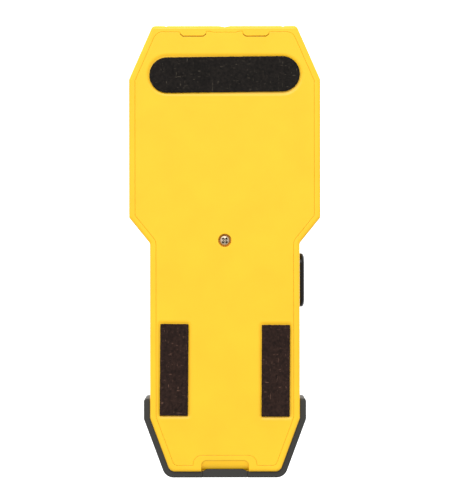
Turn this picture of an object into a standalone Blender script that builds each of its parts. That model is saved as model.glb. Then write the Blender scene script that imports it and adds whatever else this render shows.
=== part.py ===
"""Handheld stud finder, standing upright on its foot.

+Z runs up the tool, -Y is the back that slides on the wall, and +X is the side of the scan button.
The origin is the middle of the bounding box's bottom. Everything is in metres.
"""

import math

import bmesh
import bpy
from mathutils import Matrix, Vector

MM = 0.001
GAP = 0.3 * MM  # left between two pieces that touch

# Body outline, seen from the back: half widths, and heights added up from the foot
BUMPER_THICKNESS = 2.5 * MM
FOOT_HALF_WIDTH = 21.7 * MM
HANDLE_HALF_WIDTH = 29.5 * MM
HEAD_HALF_WIDTH = 37.7 * MM
TOP_HALF_WIDTH = 28.4 * MM
FOOT_Z = BUMPER_THICKNESS  # the bumper's underside is at zero
FOOT_CHAMFER_Z = FOOT_Z + 21.0 * MM
HANDLE_TOP_Z = FOOT_CHAMFER_Z + 68.9 * MM
HEAD_BOTTOM_Z = HANDLE_TOP_Z + 10.1 * MM
HEAD_CHAMFER_Z = HEAD_BOTTOM_Z + 54.4 * MM
TOP_Z = HEAD_CHAMFER_Z + 21.1 * MM

# Depth, from the wall side to the front
BACK_Y = -16.4 * MM
HEAD_FRONT_Y = BACK_Y + 24.4 * MM
HANDLE_FRONT_Y = BACK_Y + 32.6 * MM
FOOT_FRONT_Y = BACK_Y + 30.0 * MM
BELLY_TOP_Z = HANDLE_TOP_Z - 26.4 * MM
BELLY_BOTTOM_Z = BELLY_TOP_Z - 8.0 * MM
HEAD_PLANE_Z = HEAD_BOTTOM_Z + 9.5 * MM

# Housing walls
WALL = 2.2 * MM
RIM_RADIUS = 1.2 * MM
FRONT_RADIUS = 3.0 * MM
RIM_WIDTH = 2.4 * MM
COVER_FOOT_RADIUS = 2.0 * MM
COVER_TOP_RADIUS = 3.7 * MM
LEDGE_WIDTH = 1.1 * MM
LEDGE_DEPTH = 1.4 * MM
COVER_THICKNESS = 2.0 * MM
COVER_EDGE = 0.25 * MM

# Hooks and dip in the rim's top edge: half width, height, chamfer, clearance below
HOOK_X = 12.5 * MM
HOOK = (5.1 * MM, 1.6 * MM, 0.9 * MM, 0.8 * MM)
DIP = (5.0 * MM, 0.3 * MM, 0.3 * MM, GAP)
HOOK_THICKNESS = 1.0 * MM
# V notches in the top edge: place, half width, depth
NOTCHES = ((0.0, 2.5 * MM, 0.55 * MM), (23.0 * MM, 0.8 * MM, 0.4 * MM), (-23.0 * MM, 0.8 * MM, 0.4 * MM))
NOTCH_OVERRUN = 1.0 * MM

# Arch in the rim's bottom edge, and the finger scoop in it
ARCH_HALF_WIDTH = 12.4 * MM
ARCH_HEIGHT = 6.4 * MM
ARCH_RADIUS = 3.2 * MM
ARCH_DEPTH = COVER_THICKNESS + 1.8 * MM
SCOOP_HALF_WIDTH = 9.4 * MM
SCOOP_HEIGHT = 4.3 * MM
SCOOP_RADIUS = 2.0 * MM
SCOOP_TOP_DEPTH = 0.8 * MM
SCOOP_DEPTH = 3.0 * MM
SCOOP_FLOOR = 1.1 * MM  # height of the scoop's deepest, straight part

# Felt pads: centre x, centre z, width, height, corner radius, skew in degrees
PAD_PROUD = 0.6 * MM
PAD_RECESS = 0.5 * MM
PAD_MARGIN = 0.7 * MM
LOW_PAD_X = HANDLE_HALF_WIDTH - 9.5 * MM
LOW_PAD_SIZE = (11.1 * MM, 36.1 * MM)
PADS = {
    "felt_pad_top": (0.0, TOP_Z - 19.2 * MM, 59.2 * MM, 14.0 * MM, 7.0 * MM, 0.6),
    "felt_pad_left": (-LOW_PAD_X, FOOT_CHAMFER_Z + 19.1 * MM, *LOW_PAD_SIZE, 0.3 * MM, -0.5),
    "felt_pad_right": (LOW_PAD_X, FOOT_CHAMFER_Z + 18.7 * MM, *LOW_PAD_SIZE, 0.3 * MM, -0.3),
}

# Screws and their bosses
SCREW_HEAD = 1.3 * MM
SCREW_POINT = 1.0 * MM
BOSS_WALL = 1.5 * MM
POST_WALL = 1.0 * MM
COVER_POST_WALL = 1.9 * MM
POST_ROOT = 0.5 * MM  # how far a post runs into the wall that it stands on
COVER_SCREW_Z = HANDLE_TOP_Z + 1.1 * MM
COVER_SCREW_HEAD_RADIUS = 2.1 * MM
COVER_SCREW_RADIUS = 1.2 * MM
COVER_SCREW_SINK = 1.1 * MM
COVER_SCREW_LENGTH = 11.0 * MM
COVER_SCREW_HOLE = COVER_SCREW_HEAD_RADIUS + 0.6 * MM
COVER_BOSS_FLOOR = 1.1 * MM
CROSS_DEPTH = 0.8 * MM
BOARD_SCREW_HEAD_RADIUS = 2.1 * MM
BOARD_SCREW_RADIUS = 1.1 * MM
BOARD_SCREW_LENGTH = 7.6 * MM
DISPLAY_SCREW_HEAD_RADIUS = 1.8 * MM
DISPLAY_SCREW_RADIUS = 0.8 * MM
DISPLAY_SCREW_LENGTH = 3.6 * MM

# Circuit boards
BOARD_THICKNESS = 1.6 * MM
BOARD_RADIUS = 1.2 * MM
SENSOR_BOARD_Y = BACK_Y + COVER_THICKNESS + 2.6 * MM
SENSOR_BOARD_INSET = 6.0 * MM
SENSOR_BOARD_BOTTOM_Z = HANDLE_TOP_Z - 26.4 * MM
SENSOR_BOARD_SCREWS = (
    (HEAD_HALF_WIDTH - 12.2 * MM, HEAD_CHAMFER_Z + 5.1 * MM),
    (HEAD_HALF_WIDTH - 10.2 * MM, HEAD_BOTTOM_Z + 13.5 * MM),
)
SENSOR_PLATES = {
    "sensor_plate_left": (-19.0 * MM, 15.0 * MM),
    "sensor_plate_centre": (0.0, 13.0 * MM),
    "sensor_plate_right": (19.0 * MM, 15.0 * MM),
}
SENSOR_PLATE_HEIGHT = 34.0 * MM
SENSOR_PLATE_Z = HEAD_BOTTOM_Z + 35.5 * MM
SENSOR_PLATE_THICKNESS = 0.4 * MM
CHIPS = {
    "microcontroller": ((0.0, HEAD_BOTTOM_Z + 33.5 * MM), (10.0 * MM, 10.0 * MM, 1.4 * MM)),
    "sense_amplifier": ((0.0, HEAD_BOTTOM_Z + 6.5 * MM), (8.0 * MM, 5.0 * MM, 1.4 * MM)),
    "crystal": ((15.0 * MM, HEAD_BOTTOM_Z + 1.5 * MM), (9.0 * MM, 4.0 * MM, 3.0 * MM)),
}
CHIP_EDGE = 0.3 * MM
BUZZER = (-13.0 * MM, SENSOR_BOARD_BOTTOM_Z + 12.0 * MM)
BUZZER_RADIUS = 6.0 * MM
BUZZER_DEPTH = 4.0 * MM
BUZZER_PORT_RADIUS = 1.0 * MM
CAPACITOR = (13.0 * MM, SENSOR_BOARD_BOTTOM_Z + 25.0 * MM)
CAPACITOR_RADIUS = 2.5 * MM
CAPACITOR_LENGTH = 6.0 * MM

# Display: board, bezel, light guide and its lights, placed from the display's middle
DISPLAY_Z = HEAD_BOTTOM_Z + 39.5 * MM
DISPLAY_BOARD_Y = HEAD_FRONT_Y - 7.6 * MM
DISPLAY_BOARD_SIZE = (41.0 * MM, 50.0 * MM)
DISPLAY_SCREW = (17.6 * MM, 21.6 * MM)
HEADER_DROP = 22.0 * MM
HEADER_SIZE = (20.0 * MM, 2.5 * MM)
BEZEL_INSET = 7.0 * MM
BEZEL_BOTTOM_Z = HEAD_PLANE_Z + 2.5 * MM
BEZEL_THICKNESS = 1.7 * MM
BEZEL_RECESS = 1.2 * MM
BEZEL_EDGE = 0.5 * MM
APERTURE = (28.0 * MM, 39.0 * MM)
APERTURE_RADIUS = 2.0 * MM
GUIDE_WEB = 1.0 * MM
GUIDE_SEAT = 0.6 * MM  # how far the light guide's web reaches past the aperture
TIP_SINK = 0.2 * MM
ARROW = ((6.5 * MM, 8.0 * MM), (0.0, 16.5 * MM), (-6.5 * MM, 8.0 * MM))
BAR_SIZE = (6.0 * MM, 2.6 * MM)
BAR_RADIUS = 0.8 * MM
BARS = ((5.6 * MM, 2.6 * MM), (7.4 * MM, -3.0 * MM), (9.2 * MM, -8.6 * MM))
READY_LIGHT_DROP = 14.5 * MM
READY_RADIUS = 1.6 * MM
LED_SIZE = (3.0 * MM, 2.0 * MM, 1.2 * MM)
LED_EDGE = 0.25 * MM

# Grip pad on the handle's front
GRIP_HALF_WIDTH = HANDLE_HALF_WIDTH - 8.5 * MM
GRIP_BOTTOM_Z = FOOT_CHAMFER_Z + 12.5 * MM
GRIP_TOP_Z = HANDLE_TOP_Z - 4.4 * MM
GRIP_RADIUS = 6.0 * MM
GRIP_PROUD = 0.8 * MM
GRIP_RECESS = 1.0 * MM
GRIP_EDGE = 0.6 * MM

# Bumper
BUMPER_TOP_Z = FOOT_CHAMFER_Z + 7.7 * MM
BUMPER_BACK_Y = BACK_Y + 1.8 * MM
BUMPER_FRONT = 1.5 * MM
BUMPER_SIDE = 2.5 * MM
BUMPER_FOOT = 1.7 * MM  # wider than the foot at its bottom corners
BUMPER_DROP = 0.4 * MM  # its bend is this much lower than the foot's
BUMPER_EDGE = 0.6 * MM

# Scan button and the switch behind it
BUTTON_Y = BACK_Y + COVER_THICKNESS + 9.4 * MM
BUTTON_Z = HANDLE_TOP_Z - 14.6 * MM
BUTTON_WIDTH = 9.0 * MM
BUTTON_LENGTH = 21.3 * MM
BUTTON_PROUD = 2.0 * MM
BUTTON_TRAVEL = 0.8 * MM
BUTTON_FLANGE = 1.3 * MM
BUTTON_FLANGE_THICKNESS = 1.2 * MM
BUTTON_CROWN = ((0.0, 1.2 * MM), (0.35 * MM, 0.5 * MM), (1.1 * MM, 0.12 * MM), (2.2 * MM, 0.0))
PUSHER_RADIUS = 1.3 * MM
PUSHER_LENGTH = 2.3 * MM
PUSHER_TIP_X = HANDLE_HALF_WIDTH - WALL - GAP - BUTTON_FLANGE_THICKNESS - PUSHER_LENGTH
SWITCH_SIZE = 5.8 * MM
SWITCH_Y = SENSOR_BOARD_Y + BOARD_THICKNESS + GAP + SWITCH_SIZE / 2
PLUNGER_RADIUS = 1.0 * MM
PLUNGER_PROUD = 2.7 * MM
PLUNGER_DEPTH = 1.6 * MM  # length of the plunger inside the switch

# 9 V battery, its bay and its snap connector
BATTERY_Y = BACK_Y + COVER_THICKNESS + 13.4 * MM
BATTERY_SIZE = (26.5 * MM, 17.5 * MM, 46.4 * MM)
BATTERY_RADIUS = 2.0 * MM
BATTERY_Z = FOOT_Z + 2.0 * MM
BATTERY_CLEARANCE = 0.6 * MM
TERMINAL_SPACING = 12.7 * MM
TERMINAL_HEIGHT = 2.1 * MM
STUD_RADIUS = 2.85 * MM
CROWN_RADIUS = 4.0 * MM
CROWN_BORE_RADIUS = 2.95 * MM
CROWN_FLOOR = 0.4 * MM
SNAP_SIZE = (25.0 * MM, 12.0 * MM, 3.6 * MM)
SNAP_RADIUS = 4.0 * MM
LEAD_RADIUS = 0.6 * MM
BAY_WALL = 1.2 * MM
BAY_HALF_X = BATTERY_SIZE[0] / 2 + BATTERY_CLEARANCE  # inside the bay
BAY_HALF_Y = BATTERY_SIZE[1] / 2 + BATTERY_CLEARANCE
BAY_TOP_Z = BATTERY_Z + BATTERY_SIZE[2] + 10.1 * MM
LEAD_SLOT = (8.0 * MM, 6.0 * MM)
RIB_THICKNESS = 1.2 * MM
COVER_RIB_X = 10.0 * MM
COVER_RIB_BOTTOM_Z = FOOT_Z + 12.0 * MM
COVER_RIB_TOP_Z = COVER_SCREW_Z - 8.0 * MM
BAY_RAIL_X = 9.0 * MM

# Battery door in the foot, its latch and its hinge
DOOR_HALF_WIDTH = BAY_HALF_X + 2.35 * MM
DOOR_BACK_Y = BATTERY_Y - BAY_HALF_Y - 2.05 * MM
DOOR_RAISE = 0.3 * MM
LATCH_LIP_HALF_WIDTH = 8.8 * MM
LATCH_LIP_HEIGHT = 0.7 * MM  # above the housing's bottom edge
LATCH_LIP_THICKNESS = 0.7 * MM
LATCH_PRONG_HALF_WIDTH = 4.0 * MM
LATCH_PRONG_THICKNESS = 0.8 * MM
LATCH_PRONG_HEIGHT = 3.5 * MM
LATCH_CLEARANCE = 0.6 * MM
HINGE_Y = BATTERY_Y + BAY_HALF_Y + 1.85 * MM
HINGE_Z = FOOT_Z - 0.5 * MM
HINGE_PIN_RADIUS = 0.6 * MM
HINGE_BORE_RADIUS = 0.75 * MM
HINGE_BARREL_RADIUS = 1.4 * MM
HINGE_SWEEP = 0.5 * MM  # room around the barrel as it turns
DOOR_SWEEP = 1.2 * MM  # room in front of the barrel for the door's edge as it turns
LUG_WIDTH = 2.8 * MM
LUG_HALF_DEPTH = 1.7 * MM
DOOR_FOAM = (20.0 * MM, 12.0 * MM, 1.6 * MM)

OVERRUN = 1.0 * MM  # how far a cutter runs past the face that it cuts
TINY = 0.01 * MM
SHARPEST = 0.2 * MM  # least radius of an outline's corner
ARC = 3  # segments in a rounded corner
ROUND = 16  # sides of a small cylinder

COLOURS = {
    "shell_yellow": ((0.95, 0.62, 0.02), 0.45, 0.0),
    "bumper_rubber": ((0.055, 0.052, 0.045), 0.7, 0.0),
    "grip_rubber": ((0.05, 0.05, 0.048), 0.75, 0.0),
    "button_rubber": ((0.03, 0.028, 0.026), 0.5, 0.0),
    "felt_black": ((0.03, 0.022, 0.018), 0.95, 0.0),
    "bezel_black": ((0.02, 0.02, 0.022), 0.25, 0.0),
    "light_guide_red": ((0.55, 0.03, 0.02), 0.3, 0.0),
    "screw_steel": ((0.6, 0.6, 0.58), 0.35, 1.0),
    "board_green": ((0.01, 0.13, 0.05), 0.4, 0.0),
    "copper": ((0.7, 0.38, 0.2), 0.35, 1.0),
    "chip_black": ((0.02, 0.02, 0.02), 0.5, 0.0),
    "led_clear": ((0.8, 0.78, 0.72), 0.2, 0.0),
    "battery_wrap": ((0.12, 0.14, 0.17), 0.35, 0.2),
    "terminal_nickel": ((0.7, 0.69, 0.66), 0.25, 1.0),
    "snap_black": ((0.03, 0.03, 0.03), 0.6, 0.0),
    "lead_red": ((0.5, 0.02, 0.02), 0.5, 0.0),
    "lead_black": ((0.02, 0.02, 0.02), 0.5, 0.0),
    "bay_plastic": ((0.06, 0.06, 0.06), 0.6, 0.0),
    "foam_grey": ((0.12, 0.12, 0.12), 0.95, 0.0),
}

# Corners of the body's right half, bottom to top: x, z, radius
BODY = (
    (FOOT_HALF_WIDTH, FOOT_Z, 2.8 * MM),
    (HANDLE_HALF_WIDTH, FOOT_CHAMFER_Z, 1.5 * MM),
    (HANDLE_HALF_WIDTH, HANDLE_TOP_Z, 1.8 * MM),
    (HEAD_HALF_WIDTH, HEAD_BOTTOM_Z, 1.4 * MM),
    (HEAD_HALF_WIDTH, HEAD_CHAMFER_Z, 1.4 * MM),
    (TOP_HALF_WIDTH, TOP_Z, 1.8 * MM),
)
BODY_SPLITS = {0: 2, 1: 7, 3: 4}  # extra points along the edges where the front changes depth


# ---------------------------------------------------------------- outlines


def smooth(share):
    share = min(max(share, 0.0), 1.0)
    return share * share * (3 - 2 * share)


def front_y(z):
    """Depth of the housing's front face at a height: foot, belly of the handle, flat head."""
    if z < BELLY_TOP_Z:
        return FOOT_FRONT_Y + (HANDLE_FRONT_Y - FOOT_FRONT_Y) * smooth(z / BELLY_BOTTOM_Z)
    share = (z - BELLY_TOP_Z) / (HEAD_PLANE_Z - BELLY_TOP_Z)
    return HANDLE_FRONT_Y - (HANDLE_FRONT_Y - HEAD_FRONT_Y) * smooth(share)


def with_mirrored_ends(corners):
    """Points of a right half outline, with the mirrored points that come before and after it."""
    first, last = corners[0], corners[-1]
    return [Vector((-first[0], first[1])), *(Vector(c[:2]) for c in corners), Vector((-last[0], last[1]))]


def moved_corners(corners, inset):
    """The corners of a symmetric outline's right half, with every edge moved inwards by inset."""
    points = with_mirrored_ends(corners)
    moved = []
    for before, point, after, corner in zip(points, points[1:], points[2:], corners):
        along_in = (point - before).normalized()
        along_out = (after - point).normalized()
        normals = Vector((-along_in.y, along_in.x)) + Vector((-along_out.y, along_out.x))
        place = point + normals * (inset / (1 + along_in.dot(along_out)))
        convex = along_in.cross(along_out) > 0
        radius = max(corner[2] - inset, SHARPEST) if convex else corner[2] + inset
        moved.append((place.x, place.y, radius))
    return moved


def corner_arc(before, corner, after, radius, segments=ARC):
    """Points of the arc that rounds one corner of an outline."""
    along_in = (corner - before).normalized()
    along_out = (after - corner).normalized()
    turn = math.atan2(along_in.cross(along_out), along_in.dot(along_out))
    tangent = radius * math.tan(abs(turn) / 2)
    side = math.copysign(1.0, turn)
    start = corner - along_in * tangent
    centre = start + Vector((-along_in.y, along_in.x)) * side * radius
    arm = start - centre
    return [centre + Matrix.Rotation(turn * k / segments, 2) @ arm for k in range(segments + 1)]


def outline(corners, inset=0.0, splits=None):
    """Closed outline, anticlockwise from its lower right corner, as mirrored pairs of points."""
    moved = moved_corners(corners, inset)
    points = with_mirrored_ends(moved)
    arcs = [
        corner_arc(before, point, after, corner[2])
        for before, point, after, corner in zip(points, points[1:], points[2:], moved)
    ]
    right = []
    for index, arc in enumerate(arcs):
        right += arc
        extra = (splits or {}).get(index, 0)
        right += [arc[-1].lerp(arcs[index + 1][0], (k + 1) / (extra + 1)) for k in range(extra)]
    return right + [Vector((-p.x, p.y)) for p in reversed(right)]


def circle(centre, radius, sides=ROUND):
    """Points of a circle whose sides, not its points, face along the axes."""
    turns = [2 * math.pi * (k + 0.5) / sides for k in range(sides)]
    return [(centre[0] + radius * math.cos(turn), centre[1] + radius * math.sin(turn)) for turn in turns]


def rounded_rectangle(width, height, radius, centre=(0.0, 0.0), skew=0.0, segments=ARC):
    """Points of a rectangle with round corners, turned by skew degrees about its centre."""
    square = [Vector((x * width / 2, y * height / 2)) for x, y in ((1, -1), (1, 1), (-1, 1), (-1, -1))]
    limit = min(radius, width / 2 - TINY, height / 2 - TINY)
    points = []
    for index, corner in enumerate(square):
        points += corner_arc(square[index - 1], corner, square[(index + 1) % 4], limit, segments)
    turn = Matrix.Rotation(math.radians(skew), 2)
    return [turn @ point + Vector(centre) for point in points]


# ---------------------------------------------------------------- solids


def new_object(name, bm):
    bmesh.ops.recalc_face_normals(bm, faces=bm.faces)
    mesh = bpy.data.meshes.new(name)
    bm.to_mesh(mesh)
    bm.free()
    obj = bpy.data.objects.new(name, mesh)
    bpy.context.scene.collection.objects.link(obj)
    return obj


def stack(name, rings, ladder=False):
    """Solid through a stack of rings of equal length. A ladder cap joins mirrored points, so it may curve."""
    bm = bmesh.new()
    loops = [[bm.verts.new(point) for point in ring] for ring in rings]
    for low, high in zip(loops, loops[1:]):
        for i in range(len(low)):
            j = (i + 1) % len(low)
            bm.faces.new((low[i], low[j], high[j], high[i]))
    for loop in (loops[0], loops[-1]):
        if not ladder:
            bm.faces.new(loop)
            continue
        for i in range(len(loop) // 2 - 1):
            bm.faces.new((loop[i], loop[i + 1], loop[-2 - i], loop[-1 - i]))
    return new_object(name, bm)


def rounding(radius):
    """Inset and distance from the face of each level of a rounded edge, from the face outwards."""
    if not radius:
        return [(0.0, 0.0)]
    turns = [math.pi / 2 * k / ARC for k in range(ARC + 1)]
    return [(radius * (1 - math.sin(turn)), radius * (1 - math.cos(turn))) for turn in turns]


def slab(name, corners, back, front, back_radius=0.0, front_radius=0.0, inset=0.0, splits=None):
    """Symmetric outline in XZ made solid from back to front, either of which may change with height."""
    levels = [(shrink, back, rise) for shrink, rise in rounding(back_radius)]
    levels += [(shrink, front, -drop) for shrink, drop in reversed(rounding(front_radius))]
    rings = []
    for shrink, face, offset in levels:
        depth = face if callable(face) else lambda z, fixed=face: fixed
        points = outline(corners, inset + shrink, splits)
        rings.append([Vector((p.x, depth(p.y) + offset, p.y)) for p in points])
    return stack(name, rings, ladder=True)


def prism(name, points, axis, low, high):
    """Outline made solid along an axis. Points are (x, z) for Y, (y, z) for X and (x, y) for Z."""
    place = {
        "X": lambda p, t: Vector((t, p[0], p[1])),
        "Y": lambda p, t: Vector((p[0], t, p[1])),
        "Z": lambda p, t: Vector((p[0], p[1], t)),
    }[axis]
    return stack(name, [[place(p, t) for p in points] for t in (low, high)])


def rod(name, centre, radius, axis, low, high, sides=ROUND):
    return prism(name, circle(centre, radius, sides), axis, low, high)


def box(name, low, high):
    corners = [(low[0], low[1]), (high[0], low[1]), (high[0], high[1]), (low[0], high[1])]
    return prism(name, corners, "Z", low[2], high[2])


def use(obj, helper, operation):
    """Adds a Boolean with a helper object, which is then left out of the model."""
    helper.hide_render = True
    helper.display_type = "WIRE"
    modifier = obj.modifiers.new(f"{operation.lower()}_{helper.name}", "BOOLEAN")
    modifier.operation = operation
    modifier.object = helper


def cut(obj, *helpers):
    for helper in helpers:
        use(obj, helper, "DIFFERENCE")


def join(obj, *helpers):
    for helper in helpers:
        use(obj, helper, "UNION")


def bevel(obj, width):
    modifier = obj.modifiers.new("edge", "BEVEL")
    modifier.width = width
    modifier.segments = 1


def set_origin(obj, point):
    """Moves the object's origin to a point, such as one on its joint's axis, without moving its shape."""
    for piece in [obj, *(m.object for m in obj.modifiers if m.type == "BOOLEAN")]:
        piece.data.transform(Matrix.Translation(-Vector(point)))
        piece.location = point


def material(name):
    colour, roughness, metallic = COLOURS[name]
    made = bpy.data.materials.get(name) or bpy.data.materials.new(name)
    made.use_nodes = True
    made.diffuse_color = (*colour, 1.0)
    shader = made.node_tree.nodes["Principled BSDF"]
    shader.inputs["Base Color"].default_value = (*colour, 1.0)
    shader.inputs["Roughness"].default_value = roughness
    shader.inputs["Metallic"].default_value = metallic
    return made


def finish(obj, slot, parent, round_piece=False):
    obj.data.materials.append(material(slot))
    obj.parent = parent
    if round_piece:
        obj.data.shade_smooth()
        obj.data.set_sharp_from_angle(angle=math.radians(35))


def machine_screw(name, place, seat_y, sizes, parent, cross=0.0):
    """Pan-head screw pointing to the front. Its sizes are head radius, shank radius and length."""
    head, shank, length = sizes
    profile = [(0.7 * head, -SCREW_HEAD), (head, -0.55 * SCREW_HEAD), (head, 0.0), (shank, 0.0)]
    profile += [(shank, length - SCREW_POINT), (0.2 * shank, length)]
    rings = [[Vector((x, seat_y + depth, z)) for x, z in circle(place, radius)] for radius, depth in profile]
    screw = stack(name, rings)
    if cross:
        long, short = 0.6 * head, 0.18 * head
        for n, (half_x, half_z) in enumerate(((long, short), (short, long))):
            top = seat_y - SCREW_HEAD
            low = (place[0] - half_x, top - OVERRUN, place[1] - half_z)
            high = (place[0] + half_x, top + cross, place[1] + half_z)
            cut(screw, box(f"{name}_slot_{n}", low, high))
    finish(screw, "screw_steel", parent, round_piece=True)


# ---------------------------------------------------------------- housing


def body_solid(name, grow=0.0):
    return slab(
        name,
        BODY,
        BACK_Y - grow,
        lambda z: front_y(z) + grow,
        back_radius=RIM_RADIUS,
        front_radius=FRONT_RADIUS,
        inset=-grow,
        splits=BODY_SPLITS,
    )


def cover_corners():
    """Inner edge of the housing's rim, which the rear cover fits. It is rounder at its ends."""
    corners = moved_corners(BODY, RIM_WIDTH)
    foot, top = corners[0], corners[-1]
    return [(*foot[:2], COVER_FOOT_RADIUS), *corners[1:-1], (*top[:2], COVER_TOP_RADIUS)]


def cavity():
    """Inside of the housing: a ledge for the cover, then the full width up to the front wall."""
    ledge_end = BACK_Y + COVER_THICKNESS + GAP + LEDGE_DEPTH
    inner_radius = FRONT_RADIUS - WALL
    levels = [
        (RIM_WIDTH + LEDGE_WIDTH, lambda z: BACK_Y - OVERRUN),
        (RIM_WIDTH + LEDGE_WIDTH, lambda z: ledge_end),
        (WALL, lambda z: ledge_end + LEDGE_WIDTH),
        (WALL, lambda z: front_y(z) - WALL - inner_radius),
        (WALL + inner_radius, lambda z: front_y(z) - WALL),
    ]
    rings = []
    for inset, depth in levels:
        rings.append([Vector((p.x, depth(p.y), p.y)) for p in outline(BODY, inset, BODY_SPLITS)])
    return stack("cavity", rings, ladder=True)


def hook_outline(centre_x, shape, loose):
    """Chamfered tab that hangs from the inside of the rim's top edge, or the room that it needs."""
    half, height, chamfer, clearance = shape
    root = TOP_Z - (RIM_RADIUS + RIM_WIDTH) / 2
    low = TOP_Z - RIM_WIDTH - height - (clearance if loose else 0.0)
    side = half + (GAP if loose else 0.0)
    right = [(side - chamfer, low), (side, low + chamfer), (side, root)]
    left = [(-x, z) for x, z in reversed(right)]
    return [(centre_x + x, z) for x, z in right + left]


def hooks(prefix, y_low, y_high, loose=False):
    places = ((-HOOK_X, HOOK), (HOOK_X, HOOK), (0.0, DIP))
    return [
        prism(f"{prefix}_{n}", hook_outline(x, shape, loose), "Y", y_low, y_high)
        for n, (x, shape) in enumerate(places)
    ]


def arch_outline(bottom, grow=0.0):
    """Round-topped block in the middle of the rim's bottom edge, around the finger scoop."""
    half = ARCH_HALF_WIDTH + grow
    top = FOOT_Z + ARCH_HEIGHT + grow
    corners = [Vector((half, bottom)), Vector((half, top)), Vector((-half, top)), Vector((-half, bottom))]
    right = corner_arc(*corners[:3], ARCH_RADIUS + grow)
    left = corner_arc(*corners[1:], ARCH_RADIUS + grow)
    return [corners[0], *right, *left, corners[3]]


def scoop():
    """Finger scoop that opens to the back and deepens towards the foot."""
    top = FOOT_Z + SCOOP_HEIGHT
    low = -OVERRUN
    outside = BACK_Y - OVERRUN
    deepest = BACK_Y + SCOOP_DEPTH
    centre = (0.0, (top + low) / 2)
    face = rounded_rectangle(2 * SCOOP_HALF_WIDTH, top - low, SCOOP_RADIUS, centre)
    made = prism("scoop_face", face, "Y", outside, BACK_Y + ARCH_DEPTH)
    slope = [(outside, low - OVERRUN), (deepest, low - OVERRUN), (deepest, FOOT_Z + SCOOP_FLOOR)]
    slope += [(BACK_Y + SCOOP_TOP_DEPTH, top + GAP), (outside, top + GAP)]
    use(made, prism("scoop_wedge", slope, "X", -ARCH_HALF_WIDTH, ARCH_HALF_WIDTH), "INTERSECT")
    return made


def marking_notches():
    """V notches in the top edge, for a pencil: one in the middle and one near each end."""
    made = []
    for n, (x, half, depth) in enumerate(NOTCHES):
        above = TOP_Z + NOTCH_OVERRUN
        slope = half / depth
        wide = slope * (depth + NOTCH_OVERRUN)
        points = [(x, TOP_Z - depth), (x + wide, above), (x - wide, above)]
        made.append(prism(f"notch_{n}", points, "Y", BACK_Y - OVERRUN, HEAD_FRONT_Y + OVERRUN))
    return made


def battery_opening():
    """Hole in the housing's bottom wall that the battery goes through, with room for the latch prong."""
    back = BATTERY_Y - BAY_HALF_Y
    below, above = FOOT_Z - OVERRUN, FOOT_Z + WALL + OVERRUN
    opening = box("battery_opening", (-BAY_HALF_X, back, below), (BAY_HALF_X, BATTERY_Y + BAY_HALF_Y, above))
    half = LATCH_PRONG_HALF_WIDTH + LATCH_CLEARANCE
    notch_back = back - LATCH_PRONG_THICKNESS - LATCH_CLEARANCE
    return [opening, box("latch_notch", (-half, notch_back, below), (half, back + OVERRUN, above))]


def lug_spans():
    inner = DOOR_HALF_WIDTH + GAP
    return ((inner, inner + LUG_WIDTH), (-inner - LUG_WIDTH, -inner))


def hinge_lugs():
    """Ears under the housing that hold the door's hinge pin."""
    low, high = HINGE_Z - HINGE_BARREL_RADIUS, FOOT_Z + WALL - GAP
    return [
        box(
            f"hinge_lug_{n}",
            (left, HINGE_Y - LUG_HALF_DEPTH, low),
            (right, HINGE_Y + LUG_HALF_DEPTH, high),
        )
        for n, (left, right) in enumerate(lug_spans())
    ]


def hinge_rod(name, radius, half_length):
    return rod(name, (HINGE_Y, HINGE_Z), radius, "X", -half_length, half_length)


def bay_rails():
    """Rails on the front wall that the battery bay stands against."""
    back = BATTERY_Y + BAY_HALF_Y + BAY_WALL + GAP
    low, high = FOOT_Z + WALL + RIB_THICKNESS, BAY_TOP_Z - RIB_THICKNESS
    heights = [low + (high - low) * k / 4 for k in range(5)]
    profile = [(back, low), *((front_y(z) - WALL + POST_ROOT, z) for z in heights), (back, high)]
    return [
        prism(f"bay_rail_{n}", profile, "X", x - RIB_THICKNESS / 2, x + RIB_THICKNESS / 2)
        for n, x in enumerate((-BAY_RAIL_X, BAY_RAIL_X))
    ]


def sensor_board_posts():
    return [(side * x, z) for x, z in SENSOR_BOARD_SCREWS for side in (1, -1)]


def display_board_posts():
    x, rise = DISPLAY_SCREW
    return [(x, DISPLAY_Z + rise), (-x, DISPLAY_Z - rise)]


def cover_boss_end():
    return BACK_Y + COVER_SCREW_SINK + SCREW_HEAD + GAP + COVER_BOSS_FLOOR


def posts():
    """Screw posts on the housing's front wall, and the bores in them."""
    head_root = HEAD_FRONT_Y - WALL + POST_ROOT
    board_start = SENSOR_BOARD_Y + BOARD_THICKNESS + GAP
    display_start = DISPLAY_BOARD_Y + BOARD_THICKNESS + GAP
    cover_root = front_y(COVER_SCREW_Z) - WALL + 2 * POST_ROOT
    wanted = [("cover_post", (0.0, COVER_SCREW_Z), COVER_SCREW_RADIUS, cover_boss_end() + GAP, cover_root)]
    wanted += [
        (f"board_post_{n}", place, BOARD_SCREW_RADIUS, board_start, head_root)
        for n, place in enumerate(sensor_board_posts())
    ]
    wanted += [
        (f"display_post_{n}", place, DISPLAY_SCREW_RADIUS, display_start, head_root)
        for n, place in enumerate(display_board_posts())
    ]
    made, bores = [], []
    for name, place, shank, start, root in wanted:
        wall = COVER_POST_WALL if name == "cover_post" else POST_WALL
        floor = root - POST_ROOT - BOSS_WALL
        made.append(rod(name, place, shank + GAP + wall, "Y", start, root))
        bores.append(rod(f"{name}_bore", place, shank + GAP, "Y", start - OVERRUN, floor))
    return made, bores


def bezel_corners():
    """The bezel follows the head's outline, and ends above the shoulder."""
    side, top = moved_corners(BODY, BEZEL_INSET)[4:]
    return ((side[0], BEZEL_BOTTOM_Z, 3 * MM), (*side[:2], 2 * MM), (*top[:2], 2.5 * MM))


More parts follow.
